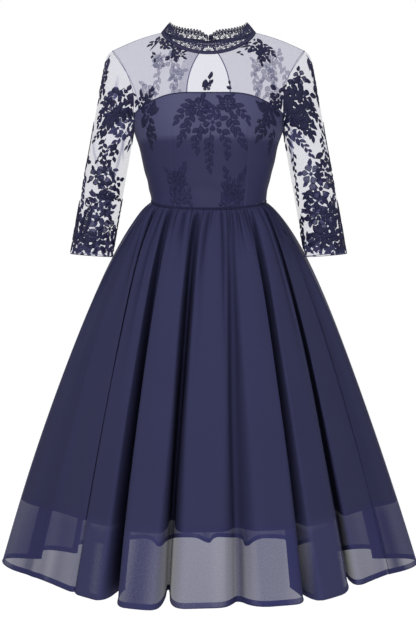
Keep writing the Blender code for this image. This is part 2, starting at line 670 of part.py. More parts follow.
def make_yoke(body, collection):
    front, front_normals = body["front"]
    piece = wall("yoke_front", trimmed(front, True, True, True, True), front_normals, NET_WALL)
    finish(piece, collection, NET_TINT, MATT)
    back, back_normals = body["back"]
    back = trimmed(back, True, True, True, True)
    piece = wall("yoke_back_left", back, back_normals, NET_WALL)
    finish(piece, collection, NET_TINT, MATT)
    piece = wall("yoke_back_right", mirrored(back), mirrored(back_normals), NET_WALL)
    finish(piece, collection, NET_TINT, MATT)


def make_sleeves(body, collection):
    sleeve, normals = body["sleeve"]
    sleeve = trimmed(sleeve, bottom=True)
    for name, points, outward in (
        ("sleeve_left", sleeve, normals),
        ("sleeve_right", mirrored(sleeve), mirrored(normals)),
    ):
        finish(wall(name, points, outward, NET_WALL, closed=True), collection, NET_TINT, MATT)


def make_collar(body, collection):
    """Three strips of crochet lace, cut through at the ladder and at the fans."""
    collar, normals = body["collar"]
    front = 2 * NECK_FRONT_COLUMNS * COLLAR_SPLIT
    back = NECK_BACK_COLUMNS * COLLAR_SPLIT
    spans = {
        "collar_front": (0, front),
        "collar_back_left": (front, front + back),
        "collar_back_right": (front + back, front + 2 * back),
    }
    for name, (first, last) in spans.items():
        points = trimmed(collar[:, first:last + 1], bottom=True, left=True, right=True)
        points[0, :, 2] += GAP
        cut = np.zeros((len(COLLAR_ROWS) - 1, last - first), dtype=bool)
        for order, row in enumerate(COLLAR_OPEN_ROWS):
            cut[row, 1 + order:-1:2] = True
        piece = wall(name, points, normals[:, first:last + 1], LACE_WALL, cut=cut)
        finish(piece, collection, NAVY, MATT)


def make_skirt(collection):
    """The chiffon skirt and the lining inside it, each in a front and two backs."""
    side = 2 * SIDE_FLUTE * STEPS_PER_FOLD_SIDE
    seam = (2 * BACK_FLUTE + 1) * STEPS_PER_FOLD_SIDE
    total = 2 * len(FLUTES) * STEPS_PER_FOLD_SIDE
    spans = (("front", 0, side), ("back_left", side, seam), ("back_right", seam, total))
    outer, outer_normals = skirt_surface(SKIRT_ROWS)
    lining, lining_normals = skirt_surface(column(LINING, "share"), gathered=False)
    room = np.minimum(column(LINING, "inset")[:, None], CREST_ROOM * fold_radius(lining))
    room = np.minimum(room, np.minimum(np.roll(room, 1, axis=1), np.roll(room, -1, axis=1)))
    lining = lining - lining_normals * room[:, :, None]
    for part, points, normals, thickness, tint in (
        ("skirt", outer, outer_normals, CHIFFON_WALL, NAVY),
        ("lining", lining, lining_normals, LINING_WALL, LINING_TINT),
    ):
        for place, first, last in spans:
            panel = trimmed(ring_span(points, first, last)[::-1], left=True, right=True)
            outward = ring_span(normals, first, last)[::-1]
            finish(wall(f"{part}_{place}", panel, outward, thickness), collection, tint, MATT)


def make_zip(body, collection):
    """Concealed zip: a chain behind the centre-back seam, its slider, and the hanging tab."""
    ring, _, _, back_centre = body["bodice"]
    seam_step = (2 * BACK_FLUTE + 1) * STEPS_PER_FOLD_SIDE
    above = [share for share in SKIRT_ROWS[::-1] if share < ZIP_SKIRT_SHARE]
    skirt, _ = skirt_surface([ZIP_SKIRT_SHARE, *above])
    line = np.concatenate([skirt[:, seam_step], ring[:-1, back_centre],
                           [(0, ring[-1, back_centre, 1], ZIP_TOP_Z)]])
    across = np.array([ZIP_HALF_WIDTH, 0.0, -ZIP_HALF_WIDTH])
    points = np.repeat(line[:, None], len(across), axis=1)
    points[:, :, 0] = across
    points[:, :, 1] -= ZIP_INSET
    chain = wall("zip_chain", points, grid_normals(points), ZIP_WALL)
    finish(chain, collection, NAVY, SATIN)

    slider_z = ZIP_TOP_Z - SLIDER_HEIGHT / 2
    face = ring[-1, back_centre, 1] + BODICE_WALL / 2 + 2 * GAP
    blocks = [
        ((0, face + SLIDER_DEPTH / 2, slider_z), (SLIDER_WIDTH, SLIDER_DEPTH, SLIDER_HEIGHT)),
    ]
    outer = face + SLIDER_DEPTH
    leg_z = SLIDER_HEIGHT / 2 - BRIDGE_BAR
    for end in (-1, 1):
        blocks.append(((0, outer + BRIDGE_REACH / 2, slider_z + end * leg_z),
                       (BRIDGE_WIDTH, BRIDGE_REACH + 2 * GAP, BRIDGE_BAR)))
    blocks.append(((0, outer + BRIDGE_REACH + BRIDGE_BAR / 2, slider_z),
                   (BRIDGE_WIDTH, BRIDGE_BAR, 2 * leg_z + BRIDGE_BAR)))
    slider = joined_blocks("zip_slider", blocks)
    finish(slider, collection, METAL_TINT, LACQUER, LACQUER_METALLIC)

    axis = (0.0, outer + BRIDGE_REACH / 2, slider_z - leg_z + PULL_AXIS_RISE)
    tab = pull_tab("zip_pull", axis)
    finish(tab, collection, METAL_TINT, LACQUER, LACQUER_METALLIC)


def joined_blocks(name, blocks):
    """One solid from blocks given as (middle, size), joined by exact unions."""
    base = None
    for middle, size in blocks:
        bpy.ops.mesh.primitive_cube_add(size=1, location=middle)
        block = bpy.context.object
        block.data.transform(block.matrix_basis @ Matrix.Diagonal((*size, 1.0)))
        block.matrix_basis.identity()
        if base is None:
            base = block
            continue
        union = base.modifiers.new("join", "BOOLEAN")
        union.operation, union.solver, union.object = "UNION", "EXACT", block
        bpy.context.view_layer.update()
        depsgraph = bpy.context.evaluated_depsgraph_get()
        joined = bpy.data.meshes.new_from_object(base.evaluated_get(depsgraph))
        base.modifiers.clear()
        base.data = joined
        bpy.data.objects.remove(block)
    base.name = name
    return base


def welded(mesh):
    """Join a filled curve's doubled points, and turn all its faces outwards."""
    weld = bmesh.new()
    weld.from_mesh(mesh)
    bmesh.ops.remove_doubles(weld, verts=weld.verts, dist=WELD)
    bmesh.ops.recalc_face_normals(weld, faces=weld.faces)
    weld.to_mesh(mesh)
    weld.free()
    return mesh


def pull_tab(name, axis):
    """Flat tab with a window round the slider's bridge; its origin is on the joint's axis."""
    outline = bpy.data.curves.new(name, "CURVE")
    outline.dimensions, outline.fill_mode = "2D", "BOTH"
    outline.extrude = TAB_WALL / 2
    top = TAB_WALL / 2
    end = TAB_LENGTH - TAB_END_WIDTH / 2
    arc = [(TAB_END_WIDTH / 2 * math.cos(a), -end - TAB_END_WIDTH / 2 * math.sin(a))
           for a in np.linspace(0, math.pi, TAB_END_POINTS)]
    shape = [(-TAB_TOP_WIDTH / 2, top), (TAB_TOP_WIDTH / 2, top), *arc]
    half = TAB_WINDOW_WIDTH / 2
    window = [(-half, -top), (half, -top), (half, -TAB_WINDOW_LENGTH), (-half, -TAB_WINDOW_LENGTH)]
    for points in (shape, window):
        line = outline.splines.new("POLY")
        line.points.add(len(points) - 1)
        for point, (x, y) in zip(line.points, points):
            point.co = (x, y, 0, 1)
        line.use_cyclic_u = True
    flat = bpy.data.objects.new(name + "_outline", outline)
    bpy.context.scene.collection.objects.link(flat)
    bpy.context.view_layer.update()
    mesh = bpy.data.meshes.new_from_object(flat.evaluated_get(bpy.context.evaluated_depsgraph_get()))
    bpy.data.objects.remove(flat)
    tab = bpy.data.objects.new(name, welded(mesh))
    bpy.context.scene.collection.objects.link(tab)
    tab.location = axis
    tab.rotation_euler = (math.pi / 2, 0, 0)
    return tab


def make_button(body, collection):
    """A small domed button on the collar's left back edge, and the thread loop round it."""
    collar, normals = body["collar"]
    middle = (2 * NECK_FRONT_COLUMNS + NECK_BACK_COLUMNS) * COLLAR_SPLIT
    seat = (collar[2, middle - 1] + collar[3, middle - 1]) / 2
    outward = unit(normals[2, middle - 1] + normals[3, middle - 1])
    place = seat + outward * (LACE_WALL / 2 + 2 * GAP + BUTTON_WALL / 2)
    lean = math.atan2(outward[1], outward[2])
    bpy.ops.mesh.primitive_cylinder_add(vertices=24, radius=BUTTON_RADIUS, depth=BUTTON_WALL,
                                        location=place, rotation=(-lean, 0, 0))
    button = bpy.context.object
    button.name = "collar_button"
    rounding = button.modifiers.new("rounding", "BEVEL")
    rounding.width, rounding.segments, rounding.limit_method = BUTTON_ROUNDING, 2, "ANGLE"
    finish(button, collection, NAVY, SATIN)

    ring = BUTTON_RADIUS + LOOP_WIRE + 2 * GAP
    loop = bpy.data.curves.new("collar_loop", "CURVE")
    loop.dimensions, loop.bevel_depth, loop.bevel_resolution = "3D", LOOP_WIRE, 1
    loop.use_fill_caps = True
    angles = np.radians(np.linspace(-LOOP_REACH, LOOP_REACH, LOOP_POINTS))
    line = loop.splines.new("POLY")
    line.points.add(len(angles) - 1)
    for point, angle in zip(line.points, angles):
        point.co = (ring * math.cos(angle), ring * math.sin(angle), 0, 1)
    cord = bpy.data.objects.new("collar_loop", loop)
    bpy.context.scene.collection.objects.link(cord)
    cord.location = seat + outward * (LACE_WALL / 2 + 3 * GAP + LOOP_WIRE)
    cord.rotation_euler = (-lean, 0, 0)
    bpy.context.view_layer.update()
    mesh = bpy.data.meshes.new_from_object(cord.evaluated_get(bpy.context.evaluated_depsgraph_get()))
    solid = bpy.data.objects.new("collar_loop_solid", welded(mesh))
    bpy.context.scene.collection.objects.link(solid)
    solid.matrix_world = cord.matrix_world
    bpy.data.objects.remove(cord)
    solid.name = "collar_loop"
    finish(solid, collection, NAVY, MATT)


def main():
    for old in list(bpy.data.objects):
        bpy.data.objects.remove(old)
    collection = bpy.data.collections.new("cocktail_dress")
    bpy.context.scene.collection.children.link(collection)
    body = upper_body()
    make_collar(body, collection)
    make_button(body, collection)
    make_yoke(body, collection)
    make_bodice(body, collection)
    make_sleeves(body, collection)
    make_waist_band(body, collection)
    make_skirt(collection)
    make_zip(body, collection)


main()
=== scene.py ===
"""The looks of a tea-length cocktail dress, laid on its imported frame.

Every cloth piece is a surface of two parameters, worked out on the same rings and tables as its
solid: an opaque bodice with darts, a sheer net yoke and sleeves under raised embroidery, a crochet
collar made of threads, a gathered chiffon skirt and its shorter lining. Metres, +Z up, the front
towards -Y, and the origin in the middle of the neck opening.
"""

from __future__ import annotations

import logging
import math
from dataclasses import dataclass, field
from enum import Enum
from typing import NamedTuple, Sequence

import bpy
import numpy as np
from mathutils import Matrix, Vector
from numpy.typing import NDArray


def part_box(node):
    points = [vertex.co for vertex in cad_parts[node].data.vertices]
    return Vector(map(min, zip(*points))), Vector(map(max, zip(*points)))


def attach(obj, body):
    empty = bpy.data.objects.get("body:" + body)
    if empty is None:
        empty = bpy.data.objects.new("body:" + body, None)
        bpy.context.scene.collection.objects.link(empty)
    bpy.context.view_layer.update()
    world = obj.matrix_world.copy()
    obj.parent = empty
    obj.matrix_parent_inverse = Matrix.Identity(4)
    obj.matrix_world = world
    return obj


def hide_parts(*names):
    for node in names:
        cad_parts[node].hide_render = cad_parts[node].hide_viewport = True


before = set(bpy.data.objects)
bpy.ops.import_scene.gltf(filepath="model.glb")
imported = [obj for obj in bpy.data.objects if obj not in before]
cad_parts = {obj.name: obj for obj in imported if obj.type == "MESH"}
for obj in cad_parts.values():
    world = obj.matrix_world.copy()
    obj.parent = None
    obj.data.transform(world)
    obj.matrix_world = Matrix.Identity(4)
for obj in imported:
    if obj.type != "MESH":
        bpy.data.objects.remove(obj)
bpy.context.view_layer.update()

Array = NDArray[np.float64]
Ints = NDArray[np.int64]
Material, Piece = bpy.types.Material, bpy.types.Object
Node, Socket, Tree = bpy.types.Node, bpy.types.NodeSocket, bpy.types.NodeTree
LOG = logging.getLogger("cocktail_dress")

DRESS = "dress"


# ---- numbers and curves -------------------------------------------------------------------


def unit(vectors: Array) -> Array:
    """Vectors divided by their lengths along the last axis."""
    return vectors / np.maximum(np.linalg.norm(vectors, axis=-1, keepdims=True), 1e-12)


def smooth_between(at: Array, places: Sequence[float], values: Array) -> Array:
    """Cubic curve through values at rising places, each slope taken from its neighbours.

    Args:
        at: where the curve is read.
        places: the rising places of the values.
        values: one value, or one row of values, for each place.

    Returns:
        Between two places, their values and slopes weighted by the four cubic Hermite weights.
    """
    at, places = np.asarray(at, dtype=float), np.asarray(places, dtype=float)
    values = np.asarray(values, dtype=float)
    slopes = np.gradient(values, places, axis=0)
    k = np.clip(np.searchsorted(places, at, side="right") - 1, 0, len(places) - 2)
    span = places[k + 1] - places[k]
    s = np.clip((at - places[k]) / span, 0.0, 1.0)
    if values.ndim > 1:
        s, span = s[..., None], span[..., None]
    near = (1 + 2 * s) * (1 - s) ** 2 * values[k] + s * (1 - s) ** 2 * span * slopes[k]
    far = s * s * (3 - 2 * s) * values[k + 1] - s * s * (1 - s) * span * slopes[k + 1]
    return near + far


def ease(values: Array, start: float, end: float) -> Array:
    """Smooth step: 0 up to start, 1 from end, and 3s^2 - 2s^3 between them."""
    s = np.clip((values - start) / (end - start), 0.0, 1.0)
    return s * s * (3 - 2 * s)


def bump(values: Array, centre: float, width: float) -> Array:
    """Bell curve: e to the minus square of the distance over the width."""
    return np.exp(-((values - centre) / width) ** 2)


def grid_normals(points: Array, around: bool = False) -> Array:
    """Outward normals of a grid whose rows rise and whose columns run anticlockwise.

    Args:
        points: rows by columns by 3.
        around: whether the last column is followed by the first.

    Returns:
        The cross product of the step along the row and the step up the column, as unit vectors.
    """
    if around:
        wrapped = np.concatenate([points[:, -1:], points, points[:, :1]], axis=1)
        along = np.gradient(wrapped, axis=1)[:, 1:-1]
    else:
        along = np.gradient(points, axis=1)
    return unit(np.cross(along, np.gradient(points, axis=0)))


def running_length(points: Array, axis: int) -> Array:
    """Length run along an axis of a grid of points, starting at 0.

    Args:
        points: a grid of points.
        axis: the axis run along.

    Returns:
        The length run up to each point.
    """
    steps = np.linalg.norm(np.diff(points, axis=axis), axis=-1)
    start = np.zeros_like(np.take(steps, [0], axis=axis))
    return np.concatenate([start, np.cumsum(steps, axis=axis)], axis=axis)


# ---- meshes -------------------------------------------------------------------------------


def new_piece(name: str, vertices: Array, faces: Ints, corner_uv: Array,
              material: Material) -> Piece:
    """A smooth mesh object at the origin from whole arrays.

    Args:
        name: the piece's name.
        vertices: N by 3.
        faces: F by 3 or F by 4 vertex numbers, anticlockwise from outside.
        corner_uv: F by the same by 2, in metres along and up the cloth.
        material: its one material.

    Returns:
        The new object, linked to the scene.
    """
    mesh = bpy.data.meshes.new(name)
    sides = faces.shape[1]
    mesh.vertices.add(len(vertices))
    mesh.vertices.foreach_set("co", np.ascontiguousarray(vertices, dtype=np.float32).ravel())
    mesh.loops.add(faces.size)
    mesh.loops.foreach_set("vertex_index", faces.astype(np.int32).ravel())
    mesh.polygons.add(len(faces))
    mesh.polygons.foreach_set("loop_start", np.arange(0, faces.size, sides, dtype=np.int32))
    mesh.update(calc_edges=True)
    mesh.uv_layers.new(name="cloth")
    mesh.uv_layers["cloth"].data.foreach_set("uv", corner_uv.astype(np.float32).ravel())
    mesh.shade_smooth()
    mesh.materials.append(material)
    piece = bpy.data.objects.new(name, mesh)
    bpy.context.scene.collection.objects.link(piece)
    return piece


def mark(piece: Piece, name: str, values: Array) -> None:
    """Give each of a piece's vertices one number for its material to read."""
    layer = piece.data.attributes.new(name, "FLOAT", "POINT")
    layer.data.foreach_set("value", np.ascontiguousarray(values, dtype=np.float32).ravel())


def grid_faces(rows: int, columns: int, closed: bool = False) -> Ints:
    """Quads of a grid of vertices counted row by row; closed joins the last column to the first.

    Args:
        rows: how many rows.
        columns: how many columns.
        closed: whether the last column joins the first.

    Returns:
        F by 4 vertex numbers.
    """
    r, c = np.mgrid[0:rows - 1, 0:columns if closed else columns - 1]
    n = (c + 1) % columns
    quads = [r * columns + c, r * columns + n, (r + 1) * columns + n, (r + 1) * columns + c]
    return np.stack(quads, axis=-1).reshape(-1, 4)


def sheet_piece(name: str, points: Array, material: Material,
                closed: bool = False) -> Piece:
    """One layer of cloth on a grid, its UV map in metres along the rows and up the columns.

    Args:
        name: the piece's name.
        points: rows by columns by 3, rows rising and columns anticlockwise from above.
        material: the cloth.
        closed: whether the last column joins the first.

    Returns:
        The cloth's object.
    """
    rows, columns = points.shape[:2]
    ring = np.concatenate([points, points[:, :1]], axis=1) if closed else points
    along = running_length(ring, 1)
    along = along - along.mean(axis=1, keepdims=True)
    up = running_length(ring, 0)
    uv = np.stack([along, up], axis=-1).reshape(-1, 2)
    corner_uv = uv[grid_faces(rows, ring.shape[1])]
    faces = grid_faces(rows, columns, closed)
    return new_piece(name, points.reshape(-1, 3), faces, corner_uv, material)


def stacked_rings(count: int, stations: int, around: int) -> Ints:
    """Triangles of many closed shapes, each a stack of rings between two pole points.

    Args:
        count: how many shapes.
        stations: rings in each, poles not counted.
        around: points in each ring.

    Returns:
        The vertex numbers, for shapes whose vertices are the near pole, the rings, the far pole.
    """
    ring = np.arange(around)
    after = (ring + 1) % around
    near = np.stack([np.zeros_like(ring), 1 + after, 1 + ring], axis=-1)
    last = 1 + (stations - 1) * around
    far = np.stack([np.full_like(ring, 1 + stations * around), last + ring, last + after], axis=-1)
    level = 1 + np.arange(stations - 1)[:, None] * around
    a, b = level + ring, level + after
    low = np.stack([a, b, b + around], axis=-1).reshape(-1, 3)
    high = np.stack([a, b + around, a + around], axis=-1).reshape(-1, 3)
    one = np.concatenate([near, low, high, far])
    size = stations * around + 2
    return (one[None] + (np.arange(count) * size)[:, None, None]).reshape(-1, 3)


STEP_SHARE = 0.004              # of a surface, to both sides, over which its slopes are taken


class Patch:
    """A piece's surface as a fine grid that can be read anywhere between its points."""

    def __init__(self, points: Array, around: bool = False) -> None:
        """Keep the grid, evened along its rows, and its normals.

        Args:
            points: rows rising, columns anticlockwise.
            around: whether the columns close on themselves.
        """
        if around:
            points = np.concatenate([points, points[:, :1]], axis=1)
        self.around = around
        length = running_length(points, 1)
        length = length / length[:, -1:]
        even = np.linspace(0, 1, points.shape[1])
        rows = [np.stack([np.interp(even, length[r], points[r, :, a]) for a in range(3)], axis=-1)
                for r in range(len(points))]
        self.points = np.stack(rows)
        body = self.points[:, :-1] if around else self.points
        normals = grid_normals(body, around)
        self.normals = np.concatenate([normals, normals[:, :1]], axis=1) if around else normals

    def read(self, grid: Array, u: Array, v: Array) -> Array:
        """A grid's values at shares u along and v up, weighted from the four nearest points.

        Args:
            grid: the surface's points or normals.
            u: shares along.
            v: shares up.

        Returns:
            The values there.
        """
        rows, columns = grid.shape[:2]
        u = np.mod(u, 1.0) if self.around else np.clip(u, 0.0, 1.0)
        x, y = u * (columns - 1), np.clip(v, 0.0, 1.0) * (rows - 1)
        c = np.clip(x.astype(int), 0, columns - 2)
        r = np.clip(y.astype(int), 0, rows - 2)
        s, t = (x - c)[..., None], (y - r)[..., None]
        low = grid[r, c] * (1 - s) + grid[r, c + 1] * s
        high = grid[r + 1, c] * (1 - s) + grid[r + 1, c + 1] * s
        return low * (1 - t) + high * t

    def outward(self, u: Array, v: Array) -> Array:
        """Outward unit normals at shares (u, v)."""
        return unit(self.read(self.normals, u, v))

    def at(self, u: Array, v: Array, lift: Array | float = 0.0) -> Array:
        """Points of the surface at shares (u, v), moved outwards by lift."""
        return self.read(self.points, u, v) + self.outward(u, v) * np.asarray(lift)[..., None]

    def steps(self, u: Array, v: Array) -> tuple[Array, Array]:
        """Shares of u and v that one metre along, and one metre up, the cloth take at (u, v).

        Args:
            u: shares along.
            v: shares up.

        Returns:
            Two arrays ending in (du, dv): the inverse of the surface's two slopes, so that the
            second direction is square to the first in the cloth.
        """
        d = STEP_SHARE
        across = (self.at(u + d, v) - self.at(u - d, v)) / (2 * d)
        low, high = np.clip(v - d, 0, 1), np.clip(v + d, 0, 1)
        up = (self.at(u, high) - self.at(u, low)) / (high - low)[..., None]
        size = np.linalg.norm(across, axis=-1)
        first = across / size[..., None]
        shear = (up * first).sum(axis=-1)
        rise = np.linalg.norm(up - first * shear[..., None], axis=-1)
        along = np.stack([1 / size, np.zeros_like(size)], axis=-1)
        upward = np.stack([-shear / (size * rise), 1 / rise], axis=-1)
        return along, upward

    def nearest(self, x: float, z: float, facing: float = 0.0) -> tuple[float, float]:
        """Shares (u, v) of the grid point nearest to a place in the front view.

        Args:
            x: the place across.
            z: the place up.
            facing: -1 keeps to the side that faces the front, 1 to the back, 0 to neither.

        Returns:
            The two shares.
        """
        away = (self.points[..., 0] - x) ** 2 + (self.points[..., 2] - z) ** 2
        away = away + np.where(self.normals[..., 1] * facing < 0, 1.0, 0.0)
        row, column = np.unravel_index(int(np.argmin(away)), away.shape)
        return column / (away.shape[1] - 1), row / (away.shape[0] - 1)


class Solid(NamedTuple):
    """Whole arrays of a mesh: vertices, triangles, and two cloth coordinates for each vertex."""

    vertices: Array
    faces: Ints
    uv: Array


def joined(name: str, solids: Sequence[Solid], material: Material) -> Piece:
    """One piece from many solids, their vertex numbers counted on.

    Args:
        name: the piece's name.
        solids: its parts.
        material: its one material.

    Returns:
        The new piece.
    """
    starts = np.cumsum([0] + [len(s.vertices) for s in solids[:-1]])
    faces = np.concatenate([s.faces + start for s, start in zip(solids, starts)])
    uv = np.concatenate([s.uv for s in solids])
    return new_piece(name, np.concatenate([s.vertices for s in solids]), faces, uv[faces], material)


def tubes(centres: Array, normals: Array, radius: Array | float, around: int = 6,
          flat: float = 1.0) -> Solid:
    """Many round threads, each closed by a point at both ends.

    A ring's points are the centre + radius * (cos a * normal * flat + sin a * side), where the
    side is square to the thread and to the cloth's normal.

    Args:
        centres: threads by stations by 3.
        normals: the same, the cloth's outward normals.
        radius: one radius, or threads by stations.
        around: points round the thread.
        flat: thickness over width.

    Returns:
        The threads, their cloth coordinates in metres round and along the thread.
    """
    count, stations = centres.shape[:2]
    along = unit(np.gradient(centres, axis=1))
    side = unit(np.cross(along, normals))
    outward = unit(np.cross(side, along))
    angle = np.linspace(0, math.tau, around, endpoint=False)[None, None, :, None]
    reach = np.broadcast_to(np.asarray(radius, dtype=float), (count, stations))[..., None, None]
    rings = centres[:, :, None] + reach * (
        np.cos(angle) * outward[:, :, None] * flat + np.sin(angle) * side[:, :, None])
    ends = reach[:, :, 0] * along * 0.6
    vertices = np.concatenate([
        (centres[:, 0] - ends[:, 0])[:, None], rings.reshape(count, -1, 3),
        (centres[:, -1] + ends[:, -1])[:, None],
    ], axis=1)
    length = running_length(centres, 1)
    width = np.broadcast_to(angle[..., 0] * reach[..., 0], (count, stations, around))
    ring_uv = np.stack([width, np.broadcast_to(length[..., None], width.shape)], axis=-1)
    uv = np.concatenate([ring_uv[:, 0, :1], ring_uv.reshape(count, -1, 2), ring_uv[:, -1, -1:]], axis=1)
    return Solid(vertices.reshape(-1, 3), stacked_rings(count, stations, around), uv.reshape(-1, 2))


def resampled(line: Array, count: int) -> Array:
    """A line of points spaced evenly along its length.

    Args:
        line: N by 3.
        count: how many points it is to have.

    Returns:
        Count by 3.
    """
    length = running_length(line, 0)
    even = np.linspace(0, length[-1], count)
    return np.stack([np.interp(even, length, line[:, axis]) for axis in range(3)], axis=-1)


def mirrored(points: Array) -> Array:
    """A grid for the other side of the body, its columns turned round so it still faces out."""
    return points[:, ::-1] * (-1.0, 1.0, 1.0)


# ---- the dress's own surface --------------------------------------------------------------


class Section(NamedTuple):
    """One level of the body: height, half width, depth to the front and to the back."""

    z: float
    half_width: float
    front: float
    back: float


class TopEdge(NamedTuple):
    """One point of the bodice's front top edge: degrees from the centre, and height."""

    turn: float
    z: float


class SleeveRow(NamedTuple):
    """One ring of a sleeve: its outer and inner point, half its depth, and its middle in Y."""

    outer_x: float
    outer_z: float
    inner_x: float
    inner_z: float
    half_depth: float
    centre_y: float


class Flute(NamedTuple):
    """One fold of the skirt: the crest and the valley after it.

    The turns are degrees round the waist, x and y are places in the hem. The breadth is the slope
    at the crest over the chord between its neighbours: the larger it is, the broader the crest
    and the narrower the valley.
    """

    crest_turn: float
    crest_x: float
    crest_y: float
    valley_turn: float
    valley_x: float
    valley_y: float
    breadth: float


TORSO = (
    Section(-0.378, 0.1190, 0.0860, 0.0790),
    Section(-0.344, 0.1176, 0.0850, 0.0760),
    Section(-0.310, 0.1240, 0.0900, 0.0780),
    Section(-0.270, 0.1340, 0.0990, 0.0850),
    Section(-0.236, 0.1415, 0.1060, 0.0910),
    Section(-0.199, 0.1527, 0.1070, 0.0940),
    Section(-0.170, 0.1550, 0.1040, 0.0940),
    Section(-0.130, 0.1550, 0.0980, 0.0920),
)
BODICE_TOP = (
    TopEdge(0, -0.1385),
    TopEdge(20, -0.1390),
    TopEdge(29, -0.1420),
    TopEdge(41, -0.1500),
    TopEdge(56, -0.1610),
    TopEdge(74, -0.1750),
)
SLEEVE = (
    SleeveRow(0.1970, -0.0375, 0.1527, -0.1990, 0.0580, 0.000),
    SleeveRow(0.2085, -0.0520, 0.1532, -0.2040, 0.0575, 0.000),
    SleeveRow(0.2195, -0.1046, 0.1548, -0.2130, 0.0545, 0.000),
    SleeveRow(0.2318, -0.1700, 0.1575, -0.2280, 0.0500, -0.001),
    SleeveRow(0.2435, -0.2360, 0.1615, -0.2520, 0.0465, -0.002),
    SleeveRow(0.2522, -0.2850, 0.1675, -0.2890, 0.0450, -0.004),
    SleeveRow(0.2634, -0.3506, 0.1780, -0.3530, 0.0440, -0.008),
    SleeveRow(0.2728, -0.4040, 0.1870, -0.4060, 0.0425, -0.012),
    SleeveRow(0.2810, -0.4530, 0.1960, -0.4590, 0.0410, -0.016),
)
FLUTES = (                      # anticlockwise from the right side seam
    Flute(-90, -0.427, 0.030, -78, -0.350, -0.110, 1.35),
    Flute(-67, -0.280, -0.218, -56, -0.244, -0.168, 1.75),
    Flute(-46, -0.222, -0.308, -36, -0.158, -0.228, 1.75),
    Flute(-21, -0.127, -0.402, -7, -0.074, -0.240, 1.80),
    Flute(5, -0.015, -0.397, 17, 0.052, -0.342, 1.55),
    Flute(27, 0.132, -0.374, 37, 0.155, -0.205, 1.75),
    Flute(50, 0.226, -0.308, 64, 0.268, -0.125, 1.70),
    Flute(71, 0.318, -0.152, 79, 0.362, -0.090, 1.50),
    Flute(90, 0.431, 0.030, 101, 0.345, 0.075, 1.30),
    Flute(112, 0.365, 0.165, 122, 0.268, 0.150, 1.30),
    Flute(132, 0.262, 0.262, 142, 0.178, 0.195, 1.25),
    Flute(151, 0.150, 0.318, 161, 0.085, 0.222, 1.30),
    Flute(171, 0.045, 0.335, 180, 0.000, 0.262, 1.25),
    Flute(189, -0.058, 0.330, 199, -0.108, 0.215, 1.25),
    Flute(209, -0.168, 0.310, 219, -0.205, 0.185, 1.30),
    Flute(229, -0.275, 0.250, 239, -0.285, 0.135, 1.25),
    Flute(248, -0.372, 0.150, 259, -0.352, 0.070, 1.25),
)


def columns_of(rows: Sequence[NamedTuple]) -> Array:
    """A table's numbers as an array, one row for each of the table's."""
    return np.array([tuple(row) for row in rows], dtype=float)


